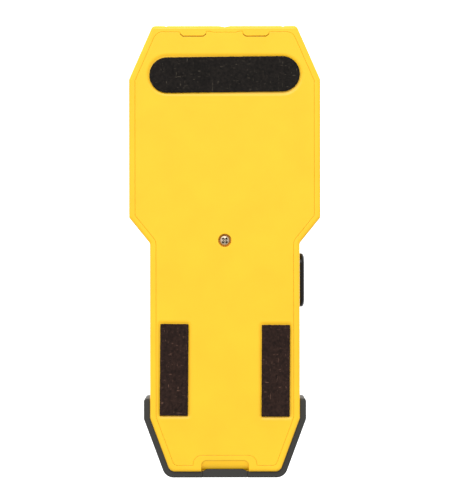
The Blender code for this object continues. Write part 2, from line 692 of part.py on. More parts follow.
def display_openings():
    """Recess for the bezel in the front wall, and the aperture behind it."""
    floor = HEAD_FRONT_Y - BEZEL_RECESS
    recess = slab("bezel_recess", bezel_corners(), floor, HEAD_FRONT_Y + OVERRUN, inset=-GAP)
    points = rounded_rectangle(*APERTURE, APERTURE_RADIUS, (0.0, DISPLAY_Z))
    aperture = prism("aperture", points, "Y", HEAD_FRONT_Y - WALL - OVERRUN, HEAD_FRONT_Y)
    return [recess, aperture]


def grip_slab(name, back_offset, front_offset, **edges):
    corners = ((GRIP_HALF_WIDTH, GRIP_BOTTOM_Z, GRIP_RADIUS), (GRIP_HALF_WIDTH, GRIP_TOP_Z, GRIP_RADIUS))
    back, front = (lambda z: front_y(z) + back_offset), (lambda z: front_y(z) + front_offset)
    return slab(name, corners, back, front, splits={0: 5}, **edges)


def button_hole():
    width, length = BUTTON_WIDTH + 2 * GAP, BUTTON_LENGTH + 2 * GAP
    points = rounded_rectangle(width, length, width / 2, (BUTTON_Y, BUTTON_Z), segments=2 * ARC)
    return prism("button_hole", points, "X", HANDLE_HALF_WIDTH - WALL - OVERRUN, HANDLE_HALF_WIDTH + OVERRUN)


def front_shell(parent):
    shell = body_solid("front_shell")
    pocket_floor = BACK_Y + COVER_THICKNESS + GAP
    cut(shell, slab("cover_pocket", cover_corners(), BACK_Y - OVERRUN, pocket_floor), cavity())
    arch = prism("arch_block", arch_outline(FOOT_Z + RIM_RADIUS), "Y", BACK_Y, BACK_Y + ARCH_DEPTH)
    made, bores = posts()
    join(shell, arch, *hooks("hook", BACK_Y, BACK_Y + HOOK_THICKNESS), *hinge_lugs(), *bay_rails(), *made)
    barrel_room = hinge_rod("barrel_room", HINGE_BARREL_RADIUS + HINGE_SWEEP, DOOR_HALF_WIDTH + GAP)
    lug_bore = hinge_rod("lug_bore", HINGE_BORE_RADIUS, DOOR_HALF_WIDTH + LUG_WIDTH + OVERRUN)
    grip_recess = grip_slab("grip_recess", -GRIP_RECESS, OVERRUN, inset=-GAP)
    cut(shell, *battery_opening(), barrel_room, *display_openings(), button_hole(), scoop())
    cut(shell, grip_recess, *marking_notches(), *bores, lug_bore)
    finish(shell, "shell_yellow", parent)


def pad_pockets():
    made = []
    for name, (x, z, width, height, radius, _) in PADS.items():
        size = (width + 2 * PAD_MARGIN, height + 2 * PAD_MARGIN, radius + PAD_MARGIN)
        points = rounded_rectangle(*size, (x, z), segments=2 * ARC)
        made.append(prism(f"{name}_pocket", points, "Y", BACK_Y - OVERRUN, BACK_Y + PAD_RECESS))
    return made


def rear_cover(parent):
    inner = BACK_Y + COVER_THICKNESS
    cover = slab("rear_cover", cover_corners(), BACK_Y, inner, back_radius=COVER_EDGE, inset=GAP)
    centre = (0.0, COVER_SCREW_Z)
    root = inner - POST_ROOT
    boss = rod("cover_boss", centre, COVER_SCREW_HOLE + BOSS_WALL, "Y", root, cover_boss_end())
    join(cover, boss)
    for n, x in enumerate((-COVER_RIB_X, COVER_RIB_X)):
        low = (x - RIB_THICKNESS / 2, root, COVER_RIB_BOTTOM_Z)
        high = (x + RIB_THICKNESS / 2, SENSOR_BOARD_Y - GAP, COVER_RIB_TOP_Z)
        join(cover, box(f"cover_rib_{n}", low, high))
    seat = BACK_Y + COVER_SCREW_SINK + SCREW_HEAD + GAP
    head_hole = rod("head_hole", centre, COVER_SCREW_HOLE, "Y", BACK_Y - OVERRUN, seat, sides=2 * ROUND)
    shank_hole = rod("shank_hole", centre, COVER_SCREW_RADIUS + GAP, "Y", seat - GAP, inner + 2 * OVERRUN)
    arch_gap = prism("arch_gap", arch_outline(FOOT_Z, GAP), "Y", BACK_Y - OVERRUN, inner + OVERRUN)
    hook_gaps = hooks("hook_gap", BACK_Y - OVERRUN, BACK_Y + HOOK_THICKNESS + GAP, loose=True)
    cut(cover, *pad_pockets(), arch_gap, *hook_gaps, head_hole, shank_hole)
    finish(cover, "shell_yellow", parent)
    sizes = (COVER_SCREW_HEAD_RADIUS, COVER_SCREW_RADIUS, COVER_SCREW_LENGTH)
    machine_screw("cover_screw", centre, seat - GAP, sizes, parent, cross=CROSS_DEPTH)


def felt_pads(parent):
    for name, (x, z, width, height, radius, skew) in PADS.items():
        points = rounded_rectangle(width, height, radius, (x, z), skew, segments=2 * ARC)
        pad = prism(name, points, "Y", BACK_Y - PAD_PROUD, BACK_Y + PAD_RECESS - GAP)
        finish(pad, "felt_black", parent)


def foot_bumper(parent):
    """Rubber boot around the foot: sides, underside and lower front."""
    side = HANDLE_HALF_WIDTH + BUMPER_SIDE
    corners = (
        (FOOT_HALF_WIDTH + BUMPER_FOOT, FOOT_Z - BUMPER_THICKNESS, 4.5 * MM),
        (side, FOOT_CHAMFER_Z - BUMPER_DROP, 2.2 * MM),
        (side, BUMPER_TOP_Z, 1.5 * MM),
    )
    boot = slab(
        "foot_bumper",
        corners,
        BUMPER_BACK_Y,
        lambda z: front_y(z) + BUMPER_FRONT,
        back_radius=BUMPER_EDGE,
        front_radius=FRONT_RADIUS,
        splits={0: 3, 1: 1},
    )
    below, above = -OVERRUN, FOOT_Z + OVERRUN
    half = DOOR_HALF_WIDTH + GAP
    front = HINGE_Y + HINGE_BARREL_RADIUS + DOOR_SWEEP
    door_room = box("door_room", (-half, DOOR_BACK_Y - GAP, below), (half, front, above))
    half = LATCH_LIP_HALF_WIDTH + GAP
    lip_room = box("lip_room", (-half, BUMPER_BACK_Y - OVERRUN, below), (half, DOOR_BACK_Y, above))
    cut(boot, body_solid("bumper_inside", GAP), door_room, lip_room)
    reach = LUG_HALF_DEPTH + GAP
    for n, (left, right) in enumerate(lug_spans()):
        low, high = (left - GAP, HINGE_Y - reach, below), (right + GAP, HINGE_Y + reach, above)
        cut(boot, box(f"lug_room_{n}", low, high))
    finish(boot, "bumper_rubber", parent)


# ---------------------------------------------------------------- display


def lights():
    """Name, outline and LED place of every light, in the head's XZ plane."""
    arrow = [(x, DISPLAY_Z + rise) for x, rise in ARROW]
    base = arrow[0][1]
    found = [("arrow", arrow, (0.0, base + LED_SIZE[0]))]
    for n, (x, rise) in enumerate(BARS):
        for side, word in ((-1, "left"), (1, "right")):
            centre = (side * x, DISPLAY_Z + rise)
            found.append((f"{word}_{n + 1}", rounded_rectangle(*BAR_SIZE, BAR_RADIUS, centre), centre))
    centre = (0.0, DISPLAY_Z - READY_LIGHT_DROP)
    return [*found, ("ready", circle(centre, READY_RADIUS), centre)]


def grown(points, amount):
    """Convex outline whose box is larger by amount on every side."""
    axes = []
    for values in zip(*((p[0], p[1]) for p in points)):
        middle, half = (max(values) + min(values)) / 2, (max(values) - min(values)) / 2
        axes.append([middle + (value - middle) * (1 + amount / half) for value in values])
    return list(zip(*axes))


def display_front(parent):
    """Bezel with a window for each light, and the light guide whose tips stand in the windows."""
    back = HEAD_FRONT_Y - BEZEL_RECESS + GAP
    front = back + BEZEL_THICKNESS
    bezel = slab("display_bezel", bezel_corners(), back, front, front_radius=BEZEL_EDGE)
    web_front = HEAD_FRONT_Y - WALL - GAP
    size = [side + 2 * GUIDE_SEAT for side in APERTURE]
    web = rounded_rectangle(*size, APERTURE_RADIUS, (0.0, DISPLAY_Z))
    guide = prism("light_guide", web, "Y", web_front - GUIDE_WEB, web_front)
    for name, shape, _ in lights():
        clearance = 2 * GAP if name == "arrow" else GAP  # a sloping side needs twice as much
        cut(bezel, prism(f"{name}_window", grown(shape, clearance), "Y", back - OVERRUN, front + OVERRUN))
        join(guide, prism(f"{name}_tip", shape, "Y", web_front - GAP, front - TIP_SINK))
    finish(bezel, "bezel_black", parent)
    finish(guide, "light_guide_red", parent)


def display_board(parent):
    front = DISPLAY_BOARD_Y + BOARD_THICKNESS
    points = rounded_rectangle(*DISPLAY_BOARD_SIZE, BOARD_RADIUS, (0.0, DISPLAY_Z))
    board = prism("display_board", points, "Y", DISPLAY_BOARD_Y, front)
    finish(board, "board_green", parent)
    sizes = (DISPLAY_SCREW_HEAD_RADIUS, DISPLAY_SCREW_RADIUS, DISPLAY_SCREW_LENGTH)
    for n, place in enumerate(display_board_posts()):
        hole = circle(place, DISPLAY_SCREW_RADIUS + GAP)
        cut(board, prism(f"display_hole_{n}", hole, "Y", DISPLAY_BOARD_Y - OVERRUN, front + OVERRUN))
        machine_screw(f"display_screw_{n + 1}", place, DISPLAY_BOARD_Y - GAP, sizes, parent)
    for name, _, (x, z) in lights():
        width, height, depth = LED_SIZE
        low = (x - width / 2, front + GAP, z - height / 2)
        led = box(f"led_{name}", low, (x + width / 2, front + GAP + depth, z + height / 2))
        bevel(led, LED_EDGE)
        finish(led, "led_clear", parent)


# ---------------------------------------------------------------- electronics


def sensor_board(parent):
    front = SENSOR_BOARD_Y + BOARD_THICKNESS
    above_handle = [(x, z, BOARD_RADIUS) for x, z, _ in moved_corners(BODY, SENSOR_BOARD_INSET)[2:]]
    corners = [(above_handle[0][0], SENSOR_BOARD_BOTTOM_Z, BOARD_RADIUS), *above_handle]
    board = slab("sensor_board", corners, SENSOR_BOARD_Y, front)
    finish(board, "board_green", parent)
    span = (SENSOR_BOARD_Y - OVERRUN, front + OVERRUN)
    post_room = COVER_SCREW_RADIUS + GAP + COVER_POST_WALL + 2 * GAP
    cut(board, rod("post_room", (0.0, COVER_SCREW_Z), post_room, "Y", *span, sides=2 * ROUND))
    sizes = (BOARD_SCREW_HEAD_RADIUS, BOARD_SCREW_RADIUS, BOARD_SCREW_LENGTH)
    for n, place in enumerate(sensor_board_posts()):
        cut(board, rod(f"board_hole_{n}", place, BOARD_SCREW_RADIUS + GAP, "Y", *span))
        machine_screw(f"board_screw_{n + 1}", place, SENSOR_BOARD_Y - GAP, sizes, parent)
    plate_front = SENSOR_BOARD_Y - GAP
    for name, (x, width) in SENSOR_PLATES.items():
        points = rounded_rectangle(width, SENSOR_PLATE_HEIGHT, BOARD_RADIUS, (x, SENSOR_PLATE_Z))
        plate = prism(name, points, "Y", plate_front - SENSOR_PLATE_THICKNESS, plate_front)
        finish(plate, "copper", parent)


def board_parts(parent):
    """What stands on the front of the sensor board, besides the switch."""
    seat = SENSOR_BOARD_Y + BOARD_THICKNESS + GAP
    for name, ((x, z), (width, height, depth)) in CHIPS.items():
        low = (x - width / 2, seat, z - height / 2)
        chip = box(name, low, (x + width / 2, seat + depth, z + height / 2))
        bevel(chip, CHIP_EDGE)
        finish(chip, "screw_steel" if name == "crystal" else "chip_black", parent)
    end = seat + BUZZER_DEPTH
    buzzer = rod("buzzer", BUZZER, BUZZER_RADIUS, "Y", seat, end, sides=2 * ROUND)
    cut(buzzer, rod("buzzer_port", BUZZER, BUZZER_PORT_RADIUS, "Y", seat + BUZZER_DEPTH / 2, end + OVERRUN))
    finish(buzzer, "chip_black", parent, round_piece=True)
    capacitor = rod("capacitor", CAPACITOR, CAPACITOR_RADIUS, "Y", seat, seat + CAPACITOR_LENGTH)
    finish(capacitor, "battery_wrap", parent, round_piece=True)
    half_x, half_z = HEADER_SIZE[0] / 2, HEADER_SIZE[1] / 2
    middle = DISPLAY_Z - HEADER_DROP
    low, high = (-half_x, seat, middle - half_z), (half_x, DISPLAY_BOARD_Y - GAP, middle + half_z)
    finish(box("board_header", low, high), "chip_black", parent)


def switch(parent):
    """Tactile switch on the sensor board, with a plunger that the button pushes in."""
    half = SWITCH_SIZE / 2
    face = PUSHER_TIP_X - GAP - PLUNGER_PROUD
    axis = (SWITCH_Y, BUTTON_Z)
    low = (face - SWITCH_SIZE, SWITCH_Y - half, BUTTON_Z - half)
    body = box("switch_body", low, (face, SWITCH_Y + half, BUTTON_Z + half))
    floor = face - PLUNGER_DEPTH - BUTTON_TRAVEL - GAP
    cut(body, rod("switch_bore", axis, PLUNGER_RADIUS + GAP, "X", floor, face + OVERRUN))
    finish(body, "chip_black", parent)
    tip = PUSHER_TIP_X - GAP
    plunger = rod("switch_plunger", axis, PLUNGER_RADIUS, "X", face - PLUNGER_DEPTH, tip)
    set_origin(plunger, (tip, *axis))
    finish(plunger, "lead_black", parent, round_piece=True)


def scan_button(parent):
    """Domed button in the handle's side, held in by its flange, with a pusher for the switch."""
    flange_outer = HANDLE_HALF_WIDTH - WALL - GAP
    flange_inner = flange_outer - BUTTON_FLANGE_THICKNESS
    centre = (BUTTON_Y, BUTTON_Z)
    levels = [(0.0, flange_outer - GAP)]
    levels += [(inset, HANDLE_HALF_WIDTH + BUTTON_PROUD - drop) for inset, drop in BUTTON_CROWN]
    rings = []
    for inset, x in levels:
        width, length = BUTTON_WIDTH - 2 * inset, BUTTON_LENGTH - 2 * inset
        points = rounded_rectangle(width, length, width / 2, centre, segments=2 * ARC)
        rings.append([Vector((x, p.x, p.y)) for p in points])
    button = stack("scan_button", rings)
    width, length = BUTTON_WIDTH + 2 * BUTTON_FLANGE, BUTTON_LENGTH + 2 * BUTTON_FLANGE
    points = rounded_rectangle(width, length, BUTTON_WIDTH / 2, centre)
    flange = prism("button_flange", points, "X", flange_inner, flange_outer)
    axis = (SWITCH_Y, BUTTON_Z)
    join(button, flange, rod("button_pusher", axis, PUSHER_RADIUS, "X", PUSHER_TIP_X, flange_inner + GAP))
    set_origin(button, (HANDLE_HALF_WIDTH, *centre))
    finish(button, "button_rubber", parent, round_piece=True)


# ---------------------------------------------------------------- battery, bay and door


def battery(parent):
    """9 V battery with its stud and crown terminals, and the snap connector over them."""
    width, depth, height = BATTERY_SIZE
    top = BATTERY_Z + height
    can = rounded_rectangle(width, depth, BATTERY_RADIUS, (0.0, BATTERY_Y))
    finish(prism("battery_body", can, "Z", BATTERY_Z, top), "battery_wrap", parent, round_piece=True)
    low, end = top + GAP, top + GAP + TERMINAL_HEIGHT
    plus, minus = (-TERMINAL_SPACING / 2, BATTERY_Y), (TERMINAL_SPACING / 2, BATTERY_Y)
    finish(rod("battery_stud", plus, STUD_RADIUS, "Z", low, end), "terminal_nickel", parent, round_piece=True)
    crown = rod("battery_crown", minus, CROWN_RADIUS, "Z", low, end, sides=6)
    cut(crown, rod("crown_bore", minus, CROWN_BORE_RADIUS, "Z", low + CROWN_FLOOR, end + OVERRUN))
    finish(crown, "terminal_nickel", parent)

    cap_low = end + 2 * GAP
    cap = rounded_rectangle(*SNAP_SIZE[:2], SNAP_RADIUS, (0.0, BATTERY_Y))
    finish(prism("snap_connector", cap, "Z", cap_low, cap_low + SNAP_SIZE[2]), "snap_black", parent)
    socket = rod("snap_socket", plus, CROWN_RADIUS, "Z", low + GAP, cap_low - GAP, sides=6)
    cut(socket, rod("socket_bore", plus, STUD_RADIUS + GAP, "Z", low - OVERRUN, end + GAP / 2))
    finish(socket, "terminal_nickel", parent)
    stud = rod("snap_stud", minus, CROWN_BORE_RADIUS - GAP, "Z", low + CROWN_FLOOR + GAP, cap_low - GAP)
    finish(stud, "terminal_nickel", parent, round_piece=True)
    for name, side in (("lead_red", -1), ("lead_black", 1)):
        battery_lead(name, side, cap_low + SNAP_SIZE[2], parent)


def smooth_curve(points, steps):
    """Points along a Catmull-Rom curve through the given ones."""
    padded = [2 * points[0] - points[1], *points, 2 * points[-1] - points[-2]]
    found = []
    for a, b, c, d in zip(padded, padded[1:], padded[2:], padded[3:]):
        for k in range(steps):
            t = k / steps
            bend = (2 * a - 5 * b + 4 * c - d) * t**2 + (3 * b - a - 3 * c + d) * t**3
            found.append(0.5 * (2 * b + (c - a) * t + bend))
    return [*found, points[-1]]


def battery_lead(name, side, start_z, parent):
    """Lead from the snap connector, through the bay's slot, to the front of the sensor board."""
    board_y = SENSOR_BOARD_Y + BOARD_THICKNESS + LEAD_RADIUS + GAP
    route = [
        Vector((side * 2.0 * MM, BATTERY_Y, start_z + GAP)),
        Vector((side * 2.0 * MM, BATTERY_Y, start_z + 3 * MM)),
        Vector((side * 2.6 * MM, BATTERY_Y - 0.5 * MM, BAY_TOP_Z + 1.5 * MM)),
        Vector((side * 3.6 * MM, board_y + 1.2 * MM, SENSOR_BOARD_BOTTOM_Z + 1 * MM)),
        Vector((side * 4.0 * MM, board_y, SENSOR_BOARD_BOTTOM_Z + 5 * MM)),
    ]
    points = smooth_curve(route, 4)
    curve = bpy.data.curves.new(f"battery_{name}", "CURVE")
    curve.dimensions = "3D"
    curve.bevel_depth = LEAD_RADIUS
    curve.bevel_resolution = 2
    curve.use_fill_caps = True
    spline = curve.splines.new("POLY")
    spline.points.add(len(points) - 1)
    for target, point in zip(spline.points, points):
        target.co = (*point, 1.0)
    lead = bpy.data.objects.new(f"battery_{name}", curve)
    bpy.context.scene.collection.objects.link(lead)
    curve.materials.append(material(name))
    lead.parent = parent


def battery_bay(parent):
    """Open-ended sleeve around the battery, with a slot in its closed end for the leads."""
    low = FOOT_Z + WALL + GAP
    back, front = BATTERY_Y - BAY_HALF_Y, BATTERY_Y + BAY_HALF_Y
    outer_x = BAY_HALF_X + BAY_WALL
    bay = box("battery_bay", (-outer_x, back - BAY_WALL, low), (outer_x, front + BAY_WALL, BAY_TOP_Z))
    inside = box("bay_inside", (-BAY_HALF_X, back, low - OVERRUN), (BAY_HALF_X, front, BAY_TOP_Z - BAY_WALL))
    half_x, half_y = LEAD_SLOT[0] / 2, LEAD_SLOT[1] / 2
    slot_low = (-half_x, BATTERY_Y - half_y, BAY_TOP_Z - 2 * BAY_WALL)
    lead_slot = box("lead_slot", slot_low, (half_x, BATTERY_Y + half_y, BAY_TOP_Z + OVERRUN))
    half = LATCH_PRONG_HALF_WIDTH + LATCH_CLEARANCE
    slot_top = FOOT_Z + LATCH_PRONG_HEIGHT + LATCH_CLEARANCE
    prong_slot = box("prong_slot", (-half, back - 2 * BAY_WALL, low - OVERRUN), (half, BATTERY_Y, slot_top))
    cut(bay, inside, lead_slot, prong_slot)
    finish(bay, "bay_plastic", parent)


def battery_door(parent):
    """Flap in the foot. It turns on a pin at the front, and a fingernail in the scoop pulls its lip."""
    top = FOOT_Z - GAP
    lip_back = BUMPER_BACK_Y + GAP
    prong_front = BATTERY_Y - BAY_HALF_Y
    lip, prong = LATCH_LIP_HALF_WIDTH, LATCH_PRONG_HALF_WIDTH
    lip_front = lip_back + LATCH_LIP_THICKNESS
    lip_top = FOOT_Z + LATCH_LIP_HEIGHT
    prong_back = prong_front - LATCH_PRONG_THICKNESS
    prong_top = FOOT_Z + LATCH_PRONG_HEIGHT
    door = box("battery_door", (-DOOR_HALF_WIDTH, DOOR_BACK_Y, DOOR_RAISE), (DOOR_HALF_WIDTH, HINGE_Y, top))
    join(
        door,
        box("latch_tongue", (-lip, lip_back, DOOR_RAISE), (lip, DOOR_BACK_Y + OVERRUN, top)),
        box("latch_lip", (-lip, lip_back, top - GAP), (lip, lip_front, lip_top)),
        box("latch_prong", (-prong, prong_back, top - GAP), (prong, prong_front, prong_top)),
        hinge_rod("hinge_barrel", HINGE_BARREL_RADIUS, DOOR_HALF_WIDTH),
    )
    cut(door, hinge_rod("barrel_bore", HINGE_BORE_RADIUS, DOOR_HALF_WIDTH + OVERRUN))
    set_origin(door, (0.0, HINGE_Y, HINGE_Z))
    finish(door, "bumper_rubber", parent)

    pin = hinge_rod("door_hinge_pin", HINGE_PIN_RADIUS, DOOR_HALF_WIDTH + LUG_WIDTH)
    finish(pin, "screw_steel", parent, round_piece=True)
    width, depth, height = DOOR_FOAM
    low = (-width / 2, BATTERY_Y - depth / 2, top + GAP)
    foam = box("door_foam", low, (width / 2, BATTERY_Y + depth / 2, top + GAP + height))
    set_origin(foam, (0.0, HINGE_Y, HINGE_Z))
    finish(foam, "foam_grey", parent)


def main():
    for obj in list(bpy.data.objects):
        bpy.data.objects.remove(obj, do_unlink=True)
    tool = bpy.data.objects.new("stud_finder", None)
    bpy.context.scene.collection.objects.link(tool)
    front_shell(tool)
    rear_cover(tool)
    felt_pads(tool)
    foot_bumper(tool)
    grip = grip_slab("front_grip", GAP - GRIP_RECESS, GRIP_PROUD, front_radius=GRIP_EDGE)
    finish(grip, "grip_rubber", tool)
    display_front(tool)
    display_board(tool)
    sensor_board(tool)
    board_parts(tool)
    switch(tool)
    scan_button(tool)
    battery(tool)
    battery_bay(tool)
    battery_door(tool)


main()
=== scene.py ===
"""Looks of the handheld stud finder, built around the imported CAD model.

Everything is in metres, in the CAD model's frame: +Z runs up the tool, -Y is the back that slides on
the wall, and +X is the side of the scan button.
"""

import math

import bmesh
import bpy
from mathutils import Matrix, Vector, noise


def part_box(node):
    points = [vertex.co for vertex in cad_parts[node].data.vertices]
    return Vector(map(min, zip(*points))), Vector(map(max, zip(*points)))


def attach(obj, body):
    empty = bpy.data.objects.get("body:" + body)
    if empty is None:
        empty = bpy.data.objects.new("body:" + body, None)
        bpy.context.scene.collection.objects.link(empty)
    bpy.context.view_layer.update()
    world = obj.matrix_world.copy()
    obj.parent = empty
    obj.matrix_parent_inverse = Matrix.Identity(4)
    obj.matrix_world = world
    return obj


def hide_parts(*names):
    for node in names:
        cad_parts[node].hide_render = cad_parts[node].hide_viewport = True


MM = 0.001
GAP = 0.3 * MM

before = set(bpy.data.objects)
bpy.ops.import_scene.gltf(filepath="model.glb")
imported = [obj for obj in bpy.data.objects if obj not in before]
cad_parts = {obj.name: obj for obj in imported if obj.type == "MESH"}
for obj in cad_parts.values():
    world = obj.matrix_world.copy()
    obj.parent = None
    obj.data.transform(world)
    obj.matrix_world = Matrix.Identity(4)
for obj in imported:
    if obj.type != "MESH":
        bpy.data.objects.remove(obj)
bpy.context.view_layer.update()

# Body outline, seen from the back, as in the CAD model
SHELL_LOW, SHELL_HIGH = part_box("front_shell")
FOOT_Z = 2.5 * MM
FOOT_CHAMFER_Z = FOOT_Z + 21.0 * MM
HANDLE_TOP_Z = FOOT_CHAMFER_Z + 68.9 * MM
HEAD_BOTTOM_Z = HANDLE_TOP_Z + 10.1 * MM
HEAD_CHAMFER_Z = HEAD_BOTTOM_Z + 54.4 * MM
TOP_Z = SHELL_HIGH.z
FOOT_HALF_WIDTH = 21.7 * MM
HANDLE_HALF_WIDTH = 29.5 * MM
HEAD_HALF_WIDTH = SHELL_HIGH.x
TOP_HALF_WIDTH = 28.4 * MM
BODY = (
    (FOOT_HALF_WIDTH, FOOT_Z, 2.8 * MM),
    (HANDLE_HALF_WIDTH, FOOT_CHAMFER_Z, 1.5 * MM),
    (HANDLE_HALF_WIDTH, HANDLE_TOP_Z, 1.8 * MM),
    (HEAD_HALF_WIDTH, HEAD_BOTTOM_Z, 1.4 * MM),
    (HEAD_HALF_WIDTH, HEAD_CHAMFER_Z, 1.4 * MM),
    (TOP_HALF_WIDTH, TOP_Z, 1.8 * MM),
)

# Depth
BACK_Y = SHELL_LOW.y
HEAD_FRONT_Y = BACK_Y + 24.4 * MM
HANDLE_FRONT_Y = BACK_Y + 32.6 * MM
FOOT_FRONT_Y = BACK_Y + 30.0 * MM
BELLY_TOP_Z = HANDLE_TOP_Z - 26.4 * MM
BELLY_BOTTOM_Z = BELLY_TOP_Z - 8.0 * MM
HEAD_PLANE_Z = HEAD_BOTTOM_Z + 9.5 * MM

# Housing
WALL = 2.2 * MM
RIM_RADIUS = 1.2 * MM
FRONT_RADIUS = 3.0 * MM
RIM_WIDTH = 2.4 * MM
COVER_FOOT_RADIUS = 2.0 * MM
COVER_TOP_RADIUS = 3.7 * MM
COVER_THICKNESS = 2.0 * MM
LEDGE_WIDTH = 1.1 * MM
LEDGE_DEPTH = 1.4 * MM
SEAM = 0.04 * MM  # visible gap between the cover and the rim
SEAM_EDGE = 0.18 * MM  # rounding on both sides of it
HOOK_SIDES = (7.25 * MM, 17.5 * MM)  # inner and outer side of the two hooks that hold the cover
HOOK_HEIGHT = 1.55 * MM
HOOK_CLEARANCE = 0.3 * MM  # wider than the seam, under the hooks
HOOK_CHAMFER = 1.1 * MM
HOOK_THICKNESS = 1.0 * MM
HOOK_SHOULDER = 0.25 * MM
RIM_DIP = 0.15 * MM  # of the rim between the hooks
# Place, half width and depth of every marking notch in the top edge
NOTCHES = ((0.0, 2.5 * MM, 0.55 * MM), (23.0 * MM, 0.8 * MM, 0.4 * MM), (-23.0 * MM, 0.8 * MM, 0.4 * MM))
# Half width, top and corner radius of the rim's arch at the foot, and of the scoop in it
ARCH = (12.4 * MM, FOOT_Z + 6.4 * MM, 3.4 * MM)
ARCH_DEPTH = 3.8 * MM
SCOOP = (9.3 * MM, FOOT_Z + 4.4 * MM, 2.0 * MM)
SCOOP_EDGE = 0.3 * MM
SCOOP_FILLET = 0.1 * MM
SCOOP_TOP_DEPTH = 0.42 * MM
SCOOP_DEPTH = 3.3 * MM
# Centre, width, height, corner radius and skew in degrees of every felt pad
PADS = {
    "felt_pad_top": (0.0, TOP_Z - 19.2 * MM, 59.2 * MM, 14.0 * MM, 7.0 * MM, 0.6),
    "felt_pad_left": (-20.0 * MM, FOOT_CHAMFER_Z + 19.1 * MM, 11.1 * MM, 36.1 * MM, 0.3 * MM, -0.5),
    "felt_pad_right": (20.0 * MM, FOOT_CHAMFER_Z + 18.7 * MM, 11.1 * MM, 36.1 * MM, 0.3 * MM, -0.3),
}
PAD_RECESS = 0.5 * MM
PAD_MARGIN = 0.1 * MM
PAD_CORNER = 0.3 * MM  # by which a pocket's corner is rounder than its pad's
# Reach and depth of a pocket's sloping wall, from its mouth down to its floor
PAD_WALL = ((1.35 * MM, 0.01 * MM), (0.95 * MM, 0.06 * MM), (0.55 * MM, 0.18 * MM), (0.0, PAD_RECESS))
COVER_SCREW = Vector((0.0, HANDLE_TOP_Z + 1.1 * MM))
SCREW_HOLE = 2.6 * MM
SCREW_BACK_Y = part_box("cover_screw")[0].y
SCREW_SEAT_Y = SCREW_BACK_Y + 1.3 * MM
SCREW_BOSS_Y = SCREW_BACK_Y + 2.7 * MM  # where the cover's boss meets the housing's post
BOARD_SHANK = 1.1 * MM
DISPLAY_SHANK = 0.8 * MM
ROOT = 0.5 * MM  # by which a post or rail runs into the wall

# Foot, battery and door
BATTERY_Y = BACK_Y + COVER_THICKNESS + 13.4 * MM
BAY_HALF_X = 13.85 * MM
BAY_BACK_Y = BATTERY_Y - 9.35 * MM
BAY_FRONT_Y = BATTERY_Y + 9.35 * MM
BAY_WALL = 1.2 * MM
BAY_TOP_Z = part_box("battery_bay")[1].z
DOOR_HALF_WIDTH = BAY_HALF_X + 2.35 * MM
DOOR_BACK_Y = BAY_BACK_Y - 2.05 * MM
HINGE_Y = BAY_FRONT_Y + 1.85 * MM
HINGE_Z = FOOT_Z - 0.5 * MM
LUG_WIDTH = 2.8 * MM
HINGE_BORE = 0.75 * MM
PRONG_HALF_WIDTH = 4.0 * MM
DOOR_BOTTOM_Z = 0.05 * MM
LIP_HALF_WIDTH = 8.9 * MM
LIP_THICKNESS = 0.9 * MM
LIP_SLOPE = 1.9 * MM  # by which each end of the lip narrows
LIP_GAP = 0.08 * MM
DOOR_GROOVES = 4
BUMPER_BACK_Y = BACK_Y + 1.8 * MM
BUMPER_SIDE = 2.5 * MM
BUMPER_FOOT = 1.7 * MM
BUMPER_FRONT = 1.5 * MM
BUMPER_FIT = 0.12 * MM
BUMPER_TOP_Z = FOOT_CHAMFER_Z + 7.7 * MM

# Front
BEZEL_INSET = 7.0 * MM
BEZEL_BOTTOM_Z = HEAD_PLANE_Z + 2.5 * MM
BEZEL_RECESS = 1.2 * MM
DISPLAY_Z = HEAD_BOTTOM_Z + 39.5 * MM
GRIP_HALF_WIDTH = HANDLE_HALF_WIDTH - 8.5 * MM
GRIP_BOTTOM_Z = FOOT_CHAMFER_Z + 12.5 * MM
GRIP_TOP_Z = HANDLE_TOP_Z - 4.4 * MM
GRIP_RECESS = 1.0 * MM
GRIP_PROUD = 0.8 * MM
GRIP_GROOVES = 9
LIGHT_FIT = 0.15 * MM
BUTTON_Y = BACK_Y + COVER_THICKNESS + 9.4 * MM
BUTTON_Z = HANDLE_TOP_Z - 14.6 * MM
BUTTON_WIDTH = 9.0 * MM
BUTTON_LENGTH = 21.3 * MM
BUTTON_PROUD = 2.0 * MM
BUTTON_DOME = (2.0 * MM, 1.15 * MM)  # reach and drop of its rounded edge

# Studio: the world's light by the rise of its direction, and how much more comes from behind the tool
WORLD = ((-1.0, 0.6), (-0.3, 0.78), (0.0, 0.97), (0.3, 0.97), (1.0, 1.25))
WORLD_BEHIND = 0.8
KEY_PLACE = (-0.2, -1.3, 1.0)
KEY_SIZE = (1.0, 0.8)
KEY_POWER = 11.0
FLOOR_Z = -26.0 * MM
FLOOR_HALF_SIZE = 3.0
CAMERA_AIM = (0.08 * MM, 89.15 * MM)
CAMERA_DISTANCE = 1.0995
CAMERA_LENS = 200.0
CAMERA_ROLL = 0.07

ARC = 8  # segments of a rounded corner, seen from the back
EDGE_ARC = 5  # segments of a rounded edge
ROUND = 48  # sides of a turned piece
STEP = 3.0 * MM  # between points along the sides, where the front changes depth
OVERRUN = 1.0 * MM  # by which a cutter passes the faces it opens
SHARPEST = 0.15 * MM  # least radius of an outline's corner
NOISE_SEED = 4  # of the uneven felt and foam


# ---------- outlines


def smooth(share):
    share = min(max(share, 0.0), 1.0)
    return share * share * (3 - 2 * share)


def front_y(z):
    """Depth of the housing's front face at a height: foot, belly of the handle, flat head."""
    if z < BELLY_TOP_Z:
        return FOOT_FRONT_Y + (HANDLE_FRONT_Y - FOOT_FRONT_Y) * smooth(z / BELLY_BOTTOM_Z)
    share = (z - BELLY_TOP_Z) / (HEAD_PLANE_Z - BELLY_TOP_Z)
    return HANDLE_FRONT_Y - (HANDLE_FRONT_Y - HEAD_FRONT_Y) * smooth(share)


